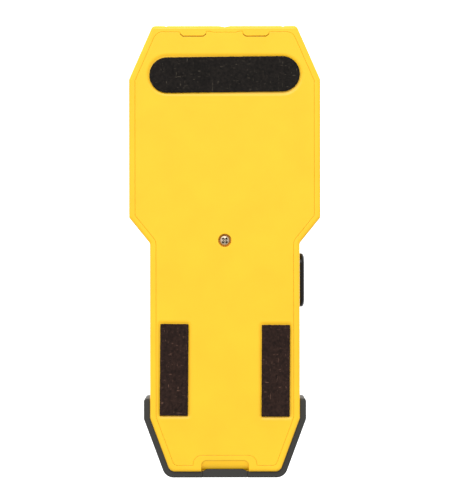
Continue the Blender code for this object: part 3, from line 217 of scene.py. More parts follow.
def corner_arc(before, corner, after, radius, segments):
    """Points of the arc that rounds a corner."""
    along_in = (corner - before).normalized()
    along_out = (after - corner).normalized()
    turn = math.atan2(along_in.cross(along_out), along_in.dot(along_out))
    tangent = radius * math.tan(abs(turn) / 2)
    side = math.copysign(1.0, turn)
    start = corner - along_in * tangent
    centre = start + Vector((-along_in.y, along_in.x)) * side * radius
    arm = start - centre
    return [centre + Matrix.Rotation(turn * k / segments, 2) @ arm for k in range(segments + 1)]


def moved(points, corners, inset):
    """Corners with every edge moved inwards. Points also hold the neighbours of the first and the last."""
    found = []
    for before, point, after, corner in zip(points, points[1:], points[2:], corners):
        along_in = (point - before).normalized()
        along_out = (after - point).normalized()
        normals = Vector((-along_in.y, along_in.x)) + Vector((-along_out.y, along_out.x))
        place = point + normals * (inset / (1 + along_in.dot(along_out)))
        convex = along_in.cross(along_out) > 0
        radius = corner[2] - inset if convex else corner[2] + inset
        found.append((place.x, place.y, max(radius, SHARPEST)))
    return found


def half_ends(corners):
    """Places of the corners with the first and last ones' mirror images at the ends."""
    first, last = corners[0], corners[-1]
    return [Vector((-first[0], first[1])), *(Vector(c[:2]) for c in corners), Vector((-last[0], last[1]))]


def symmetric(corners, step=None, segments=ARC):
    """Shape from the right half of a symmetric outline: a function from inset to mirrored pairs of points."""
    gaps = [(Vector(a[:2]) - Vector(b[:2])).length for a, b in zip(corners, corners[1:])]
    splits = [int(gap / step) if step else 0 for gap in gaps]

    def shape(inset):
        changed = moved(half_ends(corners), corners, inset)
        points = half_ends(changed)
        arcs = [
            corner_arc(before, point, after, corner[2], segments)
            for before, point, after, corner in zip(points, points[1:], points[2:], changed)
        ]
        right = list(arcs[0])
        for arc, extra in zip(arcs[1:], splits):
            last = right[-1]
            right += [last.lerp(arc[0], (k + 1) / (extra + 1)) for k in range(extra)]
            right += arc
        return right + [Vector((-p.x, p.y)) for p in reversed(right)]

    return shape


def polygon(corners, segments=ARC):
    """Shape from every corner of a closed outline, anticlockwise, as x, z and radius."""
    ring = [Vector(c[:2]) for c in corners]

    def shape(inset):
        changed = moved([ring[-1], *ring, ring[0]], corners, inset)
        places = [Vector(c[:2]) for c in changed]
        points = []
        for n, corner in enumerate(changed):
            points += corner_arc(places[n - 1], places[n], places[(n + 1) % len(places)], corner[2], segments)
        return points

    return shape


SQUARE = ((1, -1), (1, 1), (-1, 1), (-1, -1))


def rectangle(width, height, radius, centre=(0.0, 0.0), skew=0.0, segments=ARC):
    """Shape of a rectangle with round corners, turned by skew degrees about its centre."""
    turn = Matrix.Rotation(math.radians(skew), 2)

    def shape(inset):
        half_x, half_y = width / 2 - inset, height / 2 - inset
        square = [Vector((x * half_x, y * half_y)) for x, y in SQUARE]
        limit = min(max(radius - inset, SHARPEST), half_x - 1e-6, half_y - 1e-6)
        points = []
        for n, corner in enumerate(square):
            points += corner_arc(square[n - 1], corner, square[(n + 1) % 4], limit, segments)
        return [turn @ point + Vector(centre) for point in points]

    return shape


def disc(centre, radius):
    def shape(inset):
        turns = [2 * math.pi * (k + 0.5) / ROUND for k in range(ROUND)]
        reach = radius - inset
        return [Vector((centre[0] + reach * math.cos(t), centre[1] + reach * math.sin(t))) for t in turns]

    return shape


# ---------- solids


AXES = {
    "X": lambda p, t: Vector((t, p[0], p[1])),
    "Y": lambda p, t: Vector((p[0], t, p[1])),
    "Z": lambda p, t: Vector((p[0], p[1], t)),
}


def new_object(name, bm):
    bmesh.ops.recalc_face_normals(bm, faces=bm.faces)
    mesh = bpy.data.meshes.new(name)
    bm.to_mesh(mesh)
    bm.free()
    obj = bpy.data.objects.new(name, mesh)
    bpy.context.scene.collection.objects.link(obj)
    return obj


def stack(name, rings, ladder=False):
    """Solid through a stack of rings of equal length. A ladder cap joins mirrored points, so it may curve."""
    bm = bmesh.new()
    loops = [[bm.verts.new(point) for point in ring] for ring in rings]
    for low, high in zip(loops, loops[1:]):
        for i in range(len(low)):
            j = (i + 1) % len(low)
            bm.faces.new((low[i], low[j], high[j], high[i]))
    for loop in (loops[0], loops[-1]):
        if not ladder:
            bm.faces.new(loop)
            continue
        for i in range(len(loop) // 2 - 1):
            bm.faces.new((loop[i], loop[i + 1], loop[-2 - i], loop[-1 - i]))
    return new_object(name, bm)


def shifted(depth, offset):
    """A depth, or a depth that follows the height, moved along its axis."""
    return (lambda z: depth(z) + offset) if callable(depth) else depth + offset


def lofted(name, shape, levels, axis="Y", ladder=False):
    """Solid through a shape's outlines at levels of inset and depth, where a depth may follow the height."""
    rings = []
    for inset, depth in levels:
        points = shape(inset)
        depths = [depth(p[1]) if callable(depth) else depth for p in points]
        rings.append([AXES[axis](p, t) for p, t in zip(points, depths)])
    return stack(name, rings, ladder)


def quarter(segments=EDGE_ARC):
    """Angles through a quarter turn."""
    return [math.pi / 2 * k / segments for k in range(segments + 1)]


def rounded_levels(low, high, low_round=0.0, high_round=0.0):
    """Levels of a solid from low to high whose two edges are rounded."""
    levels = []
    for turn in quarter() if low_round else (0.0,):
        levels.append((low_round * (1 - math.sin(turn)), shifted(low, low_round * (1 - math.cos(turn)))))
    for turn in reversed(quarter() if high_round else [0.0]):
        drop = high_round * (1 - math.cos(turn))
        levels.append((high_round * (1 - math.sin(turn)), shifted(high, -drop)))
    return levels


def cutter_levels(face, floor, inwards=1, mouth=0.0, fillet=0.0, inset=0.0):
    """Levels of a cutter that enters at face, flares into a rounded mouth there, and ends at floor."""
    levels = [(inset, shifted(face, -inwards * OVERRUN))]
    if mouth:
        arc = [(mouth * (1 - math.cos(t)), mouth * (1 - math.sin(t))) for t in quarter()]
        grow = 2 * arc[-1][0] - arc[-2][0]
        levels = [(inset - grow, shifted(face, -inwards * OVERRUN))]
        levels.append((inset - grow, shifted(face, -inwards * arc[-2][1])))
        levels += [(inset - grown, shifted(face, inwards * depth)) for grown, depth in reversed(arc[:-1])]
    for turn in reversed(quarter() if fillet else [0.0]):
        shrink, rise = fillet * (1 - math.sin(turn)), fillet * (1 - math.cos(turn))
        levels.append((inset + shrink, shifted(floor, -inwards * rise)))
    return levels


def box(name, low, high):
    corners = [(low[0], low[1]), (high[0], low[1]), (high[0], high[1]), (low[0], high[1])]
    return stack(name, [[Vector((x, y, z)) for x, y in corners] for z in (low[2], high[2])])


def boolean(obj, operation, helpers):
    """Applies a Boolean with each helper in turn, and removes the helpers."""
    for helper in helpers:
        modifier = obj.modifiers.new("boolean", "BOOLEAN")
        modifier.operation = operation
        modifier.object = helper
        bpy.context.view_layer.update()
        made = bpy.data.meshes.new_from_object(obj.evaluated_get(bpy.context.evaluated_depsgraph_get()))
        obj.modifiers.clear()
        obj.data = made
        bpy.data.objects.remove(helper, do_unlink=True)
    return obj


def cut(obj, *helpers):
    return boolean(obj, "DIFFERENCE", helpers)


def join(obj, *helpers):
    return boolean(obj, "UNION", helpers)


def piece(obj, name, finish, node, body="housing", angle=32.0):
    """Names a finished piece, gives it its material and shading, and puts it in the place of its node."""
    obj.name = name
    obj.data.name = name
    obj.data.materials.clear()
    obj.data.materials.append(finish)
    obj.data.shade_smooth()
    obj.data.set_sharp_from_angle(angle=math.radians(angle))
    weighted = obj.modifiers.new("weighted_normals", "WEIGHTED_NORMAL")
    weighted.keep_sharp = True
    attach(obj, body)
    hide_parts(node)


# ---------- materials


def new_material(name, colour, roughness, metallic=0.0, **sockets):
    made = bpy.data.materials.new(name)
    made.use_nodes = True
    made.diffuse_color = (*colour, 1.0)
    shader = made.node_tree.nodes["Principled BSDF"]
    shader.inputs["Base Color"].default_value = (*colour, 1.0)
    shader.inputs["Roughness"].default_value = roughness
    shader.inputs["Metallic"].default_value = metallic
    for socket, value in sockets.items():
        shader.inputs[socket.replace("_", " ")].default_value = value
    return made, shader


def node(material, kind, **values):
    made = material.node_tree.nodes.new(kind)
    for key, value in values.items():
        if key in made.inputs:
            made.inputs[key].default_value = value
        else:
            setattr(made, key, value)
    return made


def link(material, source, target):
    material.node_tree.links.new(source, target)


def texture(material, kind, stretch=(1, 1, 1), **values):
    """Texture that is fixed to the piece."""
    place = node(material, "ShaderNodeTexCoord")
    mapping = node(material, "ShaderNodeMapping", Scale=stretch)
    link(material, place.outputs["Object"], mapping.inputs["Vector"])
    made = node(material, "ShaderNodeTex" + kind, **values)
    link(material, mapping.outputs["Vector"], made.inputs["Vector"])
    return made


def grain(material, scale, detail=2.0, roughness=0.5, stretch=(1, 1, 1)):
    """Value of a fine noise."""
    made = texture(material, "Noise", stretch, Scale=scale, Detail=detail, Roughness=roughness)
    return made.outputs["Fac"]


def spread(material, source, low, high, start=0.0, end=1.0):
    """Maps a texture's value from start..end to low..high."""
    made = node(material, "ShaderNodeMapRange")
    for key, value in (("From Min", start), ("From Max", end), ("To Min", low), ("To Max", high)):
        made.inputs[key].default_value = value
    link(material, source, made.inputs["Value"])
    return made.outputs["Result"]


def mix_colours(material, factor, first, second):
    """Mixes two colours, each a triple or a socket, by a texture's value."""
    made = material.node_tree.nodes.new("ShaderNodeMix")
    made.data_type = "RGBA"
    link(material, factor, made.inputs[0])
    for socket, value in ((made.inputs[6], first), (made.inputs[7], second)):
        if isinstance(value, tuple):
            socket.default_value = (*value, 1.0)
        else:
            link(material, value, socket)
    return made.outputs[2]


def bump(material, shader, sources):
    """Chains bumps, each a height socket and its depth in metres, onto a shader."""
    normal = None
    for height, depth in sources:
        made = node(material, "ShaderNodeBump", Strength=1.0, Distance=depth)
        link(material, height, made.inputs["Height"])
        if normal:
            link(material, normal, made.inputs["Normal"])
        normal = made.outputs["Normal"]
    link(material, normal, shader.inputs["Normal"])


def edge_mask(material, radius):
    """Share by which a surface bends within a radius: 0 on flats, 1 on sharp edges."""
    rounded = node(material, "ShaderNodeBevel", Radius=radius, samples=6)
    plain = node(material, "ShaderNodeNewGeometry")
    product = node(material, "ShaderNodeVectorMath", operation="DOT_PRODUCT")
    link(material, rounded.outputs["Normal"], product.inputs[0])
    link(material, plain.outputs["Normal"], product.inputs[1])
    return spread(material, product.outputs["Value"], 1.0, 0.0, 0.8, 1.0)


def scaled(colour, share):
    return tuple(min(c * share, 1.0) for c in colour)


def moulded(name, colour, roughness, size=0.25 * MM, depth=0.006 * MM, edge_highlight=None, **sockets):
    """Moulded plastic or rubber: spark-eroded grain, cloudy colour, uneven gloss, and a lighter colour along
    the edges that is a painted highlight.
    """
    made, shader = new_material(name, colour, roughness, **sockets)
    clouds = grain(made, 60.0, 3.0)
    grains = grain(made, 1 / size, 3.0, 0.6)
    wide = spread(made, clouds, 0.0, 1.0, 0.35, 0.65)
    base = mix_colours(made, wide, scaled(colour, 0.97), scaled(colour, 1.02))
    # Edges take a lighter colour: a painted highlight standing in for light caught by the rounded edges.
    if edge_highlight:
        base = mix_colours(made, edge_mask(made, 0.5 * MM), base, edge_highlight)
    link(made, base, shader.inputs["Base Color"])
    dull = spread(made, clouds, roughness - 0.04, roughness + 0.05, 0.3, 0.7)
    link(made, dull, shader.inputs["Roughness"])
    bump(made, shader, [(clouds, 0.02 * MM), (grains, depth)])
    return made


def felt(name, dark, light, fibre):
    """Pressed felt: fine matted fibres that run every way, with lighter ones scattered over them."""
    made, shader = new_material(name, dark, 0.95, Sheen_Weight=0.25, Sheen_Roughness=0.5)
    shader.inputs["Sheen Tint"].default_value = (*light, 1.0)
    shader.inputs["Specular IOR Level"].default_value = 0.2
    matt = grain(made, 900.0, 4.0, 0.7)
    patches = grain(made, 130.0, 3.0, 0.6)
    upright = grain(made, 700.0, 2.0, 0.6, (2.6, 1.0, 0.5))
    across = grain(made, 700.0, 2.0, 0.6, (0.5, 1.0, 2.6))
    base = mix_colours(made, spread(made, matt, 0.0, 1.0, 0.3, 0.7), dark, light)
    patch = spread(made, patches, 0.0, 0.45, 0.45, 0.75)
    base = mix_colours(made, patch, base, scaled(dark, 0.6))
    for strands in (upright, across):
        line = spread(made, strands, 0.0, 0.8, 0.66, 0.74)
        base = mix_colours(made, line, base, fibre)
    link(made, base, shader.inputs["Base Color"])
    heights = [(matt, 0.12 * MM), (upright, 0.1 * MM)]
    bump(made, shader, [*heights, (across, 0.1 * MM)])
    return made


def metal(name, colour, roughness, brush=(1.0, 1.0, 1.0)):
    """Plated or stamped metal with fine scratches and a dull bloom."""
    made, shader = new_material(name, colour, roughness, 1.0)
    scratches = grain(made, 2500.0, 3.0, 0.6, brush)
    bloom = grain(made, 250.0, 3.0)
    dull = spread(made, bloom, roughness - 0.08, roughness + 0.12, 0.3, 0.7)
    link(made, dull, shader.inputs["Roughness"])
    tint = spread(made, bloom, 0.0, 1.0, 0.35, 0.65)
    link(made, mix_colours(made, tint, scaled(colour, 0.85), colour), shader.inputs["Base Color"])
    bump(made, shader, [(scratches, 0.004 * MM)])
    return made


def circuit_board(name):
    """Green solder resist over copper tracks, with the glass weave just showing."""
    green = (0.012, 0.12, 0.045)
    made, shader = new_material(name, green, 0.35, Coat_Weight=0.3, Coat_Roughness=0.15)
    tracks = texture(made, "Brick", Scale=330.0)
    tracks.inputs["Color1"].default_value = (*scaled(green, 1.5), 1.0)
    tracks.inputs["Color2"].default_value = (*scaled(green, 0.8), 1.0)
    tracks.inputs["Mortar"].default_value = (*green, 1.0)
    weave = texture(made, "Checker", Scale=1600.0)
    specks = grain(made, 800.0, 2.0)
    mottled = spread(made, specks, 0.0, 0.5, 0.4, 0.7)
    link(made, mix_colours(made, mottled, tracks.outputs["Color"], green), shader.inputs["Base Color"])
    bump(made, shader, [(tracks.outputs["Fac"], 0.03 * MM), (weave.outputs["Fac"], 0.004 * MM)])
    return made


def foam(name, colour):
    """Open-cell foam: cells of many sizes, whose hollows are coloured darker as painted shade."""
    made, shader = new_material(name, colour, 0.95, Sheen_Weight=0.2)
    cells = texture(made, "Voronoi", Scale=1500.0)
    # Painted shade: the colour darkens towards the middle of each cell's hollow.
    pit_shade = spread(made, cells.outputs["Distance"], 1.0, 0.0, 0.1, 0.6)
    link(made, mix_colours(made, pit_shade, colour, scaled(colour, 0.35)), shader.inputs["Base Color"])
    bump(made, shader, [(cells.outputs["Distance"], 0.2 * MM)])
    return made


def translucent(name, colour, painted_glow):
    """Tinted clear plastic with faint flow lines and a faint painted glow, as if lit from inside, though no
    lamp lights it.
    """
    made, shader = new_material(name, colour, 0.18, Transmission_Weight=0.35, IOR=1.49)
    shader.inputs["Emission Strength"].default_value = painted_glow
    shader.inputs["Emission Color"].default_value = (*colour, 1.0)
    flow = grain(made, 300.0, 3.0, 0.5, (1.0, 1.0, 0.3))
    tone = spread(made, flow, 0.0, 1.0, 0.35, 0.65)
    link(made, mix_colours(made, tone, scaled(colour, 0.8), colour), shader.inputs["Base Color"])
    link(made, spread(made, flow, 0.12, 0.28, 0.3, 0.7), shader.inputs["Roughness"])
    bump(made, shader, [(flow, 0.01 * MM)])
    return made


# The last colour of the yellow, bumper, grip and button finishes is the painted highlight along their edges.
YELLOW = moulded("yellow_abs", (0.97, 0.553, 0.006), 0.38, edge_highlight=(0.98, 0.58, 0.02))
BUMPER = moulded("bumper_tpe", (0.024, 0.023, 0.019), 0.6, 0.2 * MM, 0.008 * MM, (0.04, 0.038, 0.033))
GRIP = moulded("grip_tpe", (0.03, 0.03, 0.029), 0.68, 0.2 * MM, 0.01 * MM, (0.055, 0.055, 0.052))
BUTTON_EDGE_HIGHLIGHT = (0.01, 0.008, 0.007)
BUTTON = moulded("button_rubber", (0.005, 0.0035, 0.003), 0.3, 0.2 * MM, 0.004 * MM, BUTTON_EDGE_HIGHLIGHT, IOR=1.3)
GLOSS = moulded("bezel_gloss", (0.006, 0.006, 0.007), 0.12, 0.6 * MM, 0.001 * MM, Coat_Weight=0.4)
CHIP = moulded("chip_resin", (0.014, 0.014, 0.015), 0.5)
BAY = moulded("bay_abs", (0.045, 0.045, 0.046), 0.55)
SNAP = moulded("snap_vinyl", (0.02, 0.02, 0.02), 0.5)
RED_WIRE = moulded("red_pvc", (0.45, 0.012, 0.01), 0.4)
BLACK_WIRE = moulded("black_pvc", (0.015, 0.015, 0.015), 0.4)
WRAP = moulded("battery_label", (0.1, 0.12, 0.15), 0.3, 0.5 * MM, 0.002 * MM, Coat_Weight=0.3)
FELT_TOP = felt("felt_strip", (0.004, 0.0034, 0.0032), (0.017, 0.0135, 0.011), (0.09, 0.075, 0.055))
FELT_LOW = felt("felt_block", (0.009, 0.0045, 0.0036), (0.038, 0.019, 0.014), (0.16, 0.085, 0.06))
STEEL = metal("screw_plate", (0.6, 0.5, 0.37), 0.38)
# Dark colour for the inside of the screw's cross: painted shade.
RECESS = metal("screw_recess_shade", (0.1, 0.08, 0.05), 0.5)
NICKEL = metal("terminal_plate", (0.72, 0.7, 0.66), 0.25)
COPPER = metal("copper_foil", (0.75, 0.4, 0.22), 0.35, (0.2, 1.0, 1.0))
CAN = metal("crystal_can", (0.68, 0.68, 0.67), 0.3, (1.0, 1.0, 0.2))
BOARD = circuit_board("board_resist")
FOAM = foam("foam_cells", (0.07, 0.07, 0.072))
# The red guide's emission is a painted glow; nothing behind it gives light.
RED_GUIDE = translucent("red_guide", (0.6, 0.02, 0.012), 0.15)
LED = translucent("led_epoxy", (0.8, 0.76, 0.66), 0.0)


# ---------- housing


def body_shape():
    return symmetric(BODY, STEP)


def cover_corners():
    """Inner edge of the housing's rim, which the rear cover fits. It is rounder at its ends."""
    corners = moved(half_ends(BODY), BODY, RIM_WIDTH)
    foot, top = corners[0], corners[-1]
    return [(*foot[:2], COVER_FOOT_RADIUS), *corners[1:-1], (*top[:2], COVER_TOP_RADIUS)]


def parting(hook_low=None):
    """Right half of the line between rim and rear cover, from the arch's top. Hooks may be left out."""
    foot, *sides, top = cover_corners()
    edge, (inner, outer) = top[1], HOOK_SIDES
    half, height, radius = ARCH
    corners = [(half, height, radius), (half + 0.15 * MM, foot[1], 0.3 * MM), foot, *sides, top]
    if hook_low is None:
        return corners
    bend = hook_low + 0.85 * HOOK_CHAMFER
    corners += [(outer, edge, 0.35 * MM), (outer, bend, 0.5 * MM), (outer - HOOK_CHAMFER, hook_low, 0.7 * MM)]
    corners += [(inner + HOOK_CHAMFER, hook_low, 0.7 * MM), (inner, bend, 0.5 * MM)]
    corners += [(inner, edge + HOOK_SHOULDER, 0.35 * MM), (5.7 * MM, edge + HOOK_SHOULDER, 0.6 * MM)]
    return [*corners, (4.6 * MM, edge - RIM_DIP, 0.6 * MM)]


def cavity():
    """Inside of the housing behind the cover: the ledge it rests on, then the full width."""
    floor = BACK_Y + COVER_THICKNESS + GAP
    inner_radius = FRONT_RADIUS - WALL
    levels = [
        (RIM_WIDTH + LEDGE_WIDTH, floor - 0.05 * MM),
        (RIM_WIDTH + LEDGE_WIDTH, floor + LEDGE_DEPTH),
        (WALL, floor + LEDGE_DEPTH + LEDGE_WIDTH),
        (WALL, shifted(front_y, -WALL - inner_radius)),
        (WALL + inner_radius * 0.3, shifted(front_y, -WALL - inner_radius * 0.3)),
        (WALL + inner_radius, shifted(front_y, -WALL)),
    ]
    return lofted("cavity", body_shape(), levels, ladder=True)


def arch_block():
    """Backs the arch at the foot, so that the scoop in it keeps a floor."""
    half, top, radius = ARCH
    corners = ((half - 0.1 * MM, FOOT_Z + RIM_RADIUS, 0.3 * MM), (half - 0.1 * MM, top - 0.1 * MM, radius))
    return lofted("arch_block", symmetric(corners), [(0.0, BACK_Y + 1.5 * MM), (0.0, BACK_Y + ARCH_DEPTH)])


def scoop():
    """Finger scoop that opens to the back and deepens towards the foot."""
    half, top, radius = SCOOP
    corners = ((half + 0.15 * MM, -OVERRUN, SHARPEST), (half, top, radius))

    def floor(z):
        share = min(max((top - z) / (top - FOOT_Z - 0.5 * MM), 0.0), 1.0)
        return BACK_Y + SCOOP_TOP_DEPTH + (SCOOP_DEPTH - SCOOP_TOP_DEPTH) * (0.3 * share + 0.7 * share**4)

    levels = cutter_levels(BACK_Y, floor, mouth=SCOOP_EDGE, fillet=SCOOP_FILLET)
    return lofted("scoop", symmetric(corners, 0.5 * MM), levels, ladder=True)


def marking_notches():
    """V-shaped notches in the top edge, for marking the wall."""
    made = []
    for x, half, depth in NOTCHES:
        wide = half * (1 + OVERRUN / depth)
        corners = ((x, TOP_Z - depth, 0.25 * MM), (x + wide, TOP_Z + OVERRUN, 0.1 * MM))
        shape = polygon([*corners, (x - wide, TOP_Z + OVERRUN, 0.1 * MM)], 4)
        made.append(lofted("notch", shape, [(0.0, BACK_Y - OVERRUN), (0.0, HEAD_FRONT_Y + OVERRUN)]))
    return made


def battery_opening():
    """Hole in the bottom wall for the battery, with room for the latch prong."""
    low = (-BAY_HALF_X, BAY_BACK_Y, FOOT_Z - OVERRUN)
    opening = box("battery_opening", low, (BAY_HALF_X, BAY_FRONT_Y, FOOT_Z + WALL + OVERRUN))
    half = PRONG_HALF_WIDTH + 2 * GAP
    low = (-half, BAY_BACK_Y - 1.4 * MM, FOOT_Z - OVERRUN)
    return [opening, box("latch_notch", low, (half, BAY_BACK_Y + OVERRUN, FOOT_Z + WALL + OVERRUN))]


def rod(name, place, radius, axis, low, high, low_round=0.0, high_round=0.0):
    return lofted(name, disc(place, radius), rounded_levels(low, high, low_round, high_round), axis)


def lug_spans():
    """Left and right end of each hinge lug."""
    inner = DOOR_HALF_WIDTH + GAP
    return ((inner, inner + LUG_WIDTH), (-inner - LUG_WIDTH, -inner))


def hinge_lugs():
    """Ears under the housing that hold the hinge pin, round at their ends."""
    back, front = HINGE_Y - 1.7 * MM, HINGE_Y + 1.7 * MM
    low, top = HINGE_Z - 1.4 * MM, FOOT_Z + WALL - GAP
    corners = ((back, low, 1.3 * MM), (front, low, 1.3 * MM), (front, top, SHARPEST), (back, top, SHARPEST))
    return [
        lofted("hinge_lug", polygon(corners), [(0.0, left), (0.0, right)], "X") for left, right in lug_spans()
    ]


def bay_rails():
    """Rails on the front wall that the battery bay stands against."""
    back = BAY_FRONT_Y + BAY_WALL + GAP
    low, high = FOOT_Z + WALL + 1.2 * MM, BAY_TOP_Z - 1.2 * MM
    parts = 12
    heights = [low + (high - low) * k / parts for k in range(parts + 1)]
    profile = [(back, low), *((front_y(z) - WALL + ROOT, z) for z in heights), (back, high)]
    made = []
    for x in (-9.0 * MM, 9.0 * MM):
        rings = [[Vector((x + side * 0.6 * MM, y, z)) for y, z in profile] for side in (-1, 1)]
        made.append(stack("bay_rail", rings))
    return made


def screw_posts():
    """Screw posts on the front wall as (post, bore) pairs."""
    wanted = [(COVER_SCREW, 1.2 * MM, 1.9 * MM, SCREW_BOSS_Y, front_y(COVER_SCREW.y) - WALL + 2 * ROOT)]
    boards = (("board_screw", "sensor_board", BOARD_SHANK), ("display_screw", "display_board", DISPLAY_SHANK))
    for kind, board, shank in boards:
        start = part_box(board)[1].y + GAP
        for name in sorted(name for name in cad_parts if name.startswith(kind)):
            low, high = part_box(name)
            place = Vector(((low.x + high.x) / 2, (low.z + high.z) / 2))
            wanted.append((place, shank, MM, start, HEAD_FRONT_Y - WALL + ROOT))
    made = []
    for place, shank, wall, start, root in wanted:
        post = rod("post", place, shank + GAP + wall, "Y", start, root)
        made.append((post, rod("bore", place, shank + GAP, "Y", start - OVERRUN, root - 2.0 * MM)))
    return made


def bezel_shape():
    """The bezel follows the head's outline, and ends above the shoulder."""
    side, top = moved(half_ends(BODY), BODY, BEZEL_INSET)[4:]
    return symmetric(((side[0], BEZEL_BOTTOM_Z, 3 * MM), (*side[:2], 2 * MM), (*top[:2], 2.5 * MM)))


def grip_shape():
    """Outline of the front grip and of its recess."""
    corners = ((GRIP_HALF_WIDTH, GRIP_BOTTOM_Z, 6 * MM), (GRIP_HALF_WIDTH, GRIP_TOP_Z, 6 * MM))
    return symmetric(corners, STEP)


def button_shape(grow=0.0):
    """Outline of the side button, or of its hole where it is grown."""
    size = (BUTTON_WIDTH + 2 * grow, BUTTON_LENGTH + 2 * grow)
    return rectangle(*size, BUTTON_WIDTH / 2 + grow, (BUTTON_Y, BUTTON_Z), segments=2 * ARC)


def hinge_rooms():
    """Room for the door's barrel between the lugs, and the bore for its pin."""
    barrel = DOOR_HALF_WIDTH + GAP
    bore = DOOR_HALF_WIDTH + LUG_WIDTH + OVERRUN
    place = (HINGE_Y, HINGE_Z)
    return (
        rod("barrel_room", place, 1.9 * MM, "X", -barrel, barrel),
        rod("lug_bore", place, HINGE_BORE, "X", -bore, bore),
    )


def display_opening():
    """Recess for the bezel, and the aperture behind it."""
    levels = cutter_levels(HEAD_FRONT_Y, HEAD_FRONT_Y - BEZEL_RECESS, -1, mouth=0.25 * MM, inset=-0.2 * MM)
    recess = lofted("bezel_recess", bezel_shape(), levels, ladder=True)
    window = rectangle(28 * MM, 39 * MM, 2 * MM, (0.0, DISPLAY_Z))
    return recess, lofted("aperture", window, [(0.0, 0.0), (0.0, HEAD_FRONT_Y)])


def button_hole():
    levels = cutter_levels(HANDLE_HALF_WIDTH, HANDLE_HALF_WIDTH - WALL - OVERRUN, -1, mouth=0.35 * MM)
    return lofted("button_hole", button_shape(0.2 * MM), levels, "X")


def grip_recess():
    levels = cutter_levels(front_y, shifted(front_y, -GRIP_RECESS), -1, mouth=0.3 * MM, inset=-0.15 * MM)
    return lofted("grip_recess", grip_shape(), levels, ladder=True)


def front_shell():
    """Housing with its front face, sides, rim and arch, open behind for the cover."""
    levels = rounded_levels(BACK_Y, front_y, RIM_RADIUS, FRONT_RADIUS)
    shell = lofted("shell", body_shape(), levels, ladder=True)
    line = symmetric(parting(TOP_Z - RIM_WIDTH - HOOK_HEIGHT))
    hooks_end = BACK_Y + HOOK_THICKNESS
    cut(shell, lofted("cover_pocket", line, cutter_levels(BACK_Y, hooks_end, mouth=SEAM_EDGE)))
    levels = [(0.01 * MM, hooks_end - 0.03 * MM), (0.01 * MM, BACK_Y + COVER_THICKNESS + GAP)]
    cut(shell, lofted("ledge_pocket", symmetric(parting()), levels), cavity())
    posts = screw_posts()
    join(shell, arch_block(), *hinge_lugs(), *bay_rails(), *(post for post, _ in posts))
    barrel_room, pin_bore = hinge_rooms()
    cut(shell, *battery_opening(), barrel_room, *display_opening())
    cut(shell, button_hole(), scoop(), grip_recess(), *marking_notches())
    cut(shell, *(bore for _, bore in posts), pin_bore)
    piece(shell, "shell", YELLOW, "front_shell")


def rear_cover():
    """Cover inside the rim, with the rim's hooks over its top edge and pockets for the felt pads."""
    inner = BACK_Y + COVER_THICKNESS
    low = TOP_Z - RIM_WIDTH - HOOK_HEIGHT - HOOK_CLEARANCE
    under_hooks = BACK_Y + HOOK_THICKNESS + GAP
    levels = [(inset + SEAM, y) for inset, y in rounded_levels(BACK_Y, under_hooks + 0.05 * MM, SEAM_EDGE)]
    cover = lofted("cover", symmetric(parting(low)), levels)
    levels = [(SEAM + 0.01 * MM, under_hooks), (SEAM + 0.01 * MM, inner)]
    join(cover, lofted("cover_floor", symmetric(parting()), levels))
    boss_end = SCREW_BOSS_Y - GAP
    join(cover, rod("cover_boss", COVER_SCREW, SCREW_HOLE + 1.5 * MM, "Y", inner - ROOT, boss_end))
    rib_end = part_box("sensor_board")[0].y - GAP
    for x in (-10 * MM, 10 * MM):
        corner = (x - 0.6 * MM, inner - ROOT, FOOT_Z + 12 * MM)
        join(cover, box("cover_rib", corner, (x + 0.6 * MM, rib_end, COVER_SCREW.y - 8 * MM)))
    levels = [(-1.9 * MM, BACK_Y - 0.1 * MM), *((-reach, BACK_Y + depth) for reach, depth in PAD_WALL)]
    for x, z, width, height, radius, _ in PADS.values():
        size = (width + 2 * PAD_MARGIN, height + 2 * PAD_MARGIN, radius + PAD_MARGIN + PAD_CORNER)
        cut(cover, lofted("pad_pocket", rectangle(*size, (x, z)), levels))
    seat = SCREW_SEAT_Y + GAP / 2
    levels = cutter_levels(BACK_Y, seat, mouth=0.25 * MM)
    cut(cover, lofted("head_hole", disc(COVER_SCREW, SCREW_HOLE), levels))
    cut(cover, rod("shank_hole", COVER_SCREW, 1.5 * MM, "Y", seat - GAP, boss_end + OVERRUN))
    piece(cover, "cover", YELLOW, "rear_cover")


def screw_profile(tip):
    """Radius and depth along the screw: domed head, then ridges for the thread, then the point."""
    head = ((0.02, 0.0), (1.0, 0.03), (1.55, 0.12), (1.88, 0.28), (2.02, 0.55), (2.05, 1.0), (2.05, 1.2))
    profile = [(radius * MM, SCREW_BACK_Y + depth * MM) for radius, depth in head]
    core, ridge, pitch = 0.95 * MM, 1.18 * MM, 0.8 * MM
    profile += [(1.95 * MM, SCREW_SEAT_Y), (core, SCREW_SEAT_Y)]
    for k in range(int((tip - SCREW_SEAT_Y - 2 * MM) / pitch)):
        y = SCREW_SEAT_Y + 1.0 * MM + k * pitch
        profile += [(core, y), (ridge, y + 0.35 * MM), (ridge, y + 0.45 * MM)]
    return [*profile, (core, tip - 0.9 * MM), (0.15 * MM, tip)]


def cross_arm(turn):
    """One tapered arm of the cross in the screw's head, turned by some degrees."""
    spin = Matrix.Rotation(math.radians(turn), 2)
    rings = []
    for depth, half, width in ((-OVERRUN, 1.85 * MM, 0.6 * MM), (1.4 * MM, 0.75 * MM, 0.22 * MM)):
        square = [Vector((x * half, z * width)) for x, z in SQUARE]
        places = [spin @ corner + COVER_SCREW for corner in square]
        rings.append([AXES["Y"](p, SCREW_BACK_Y + depth) for p in places])
    return stack("cross", rings)


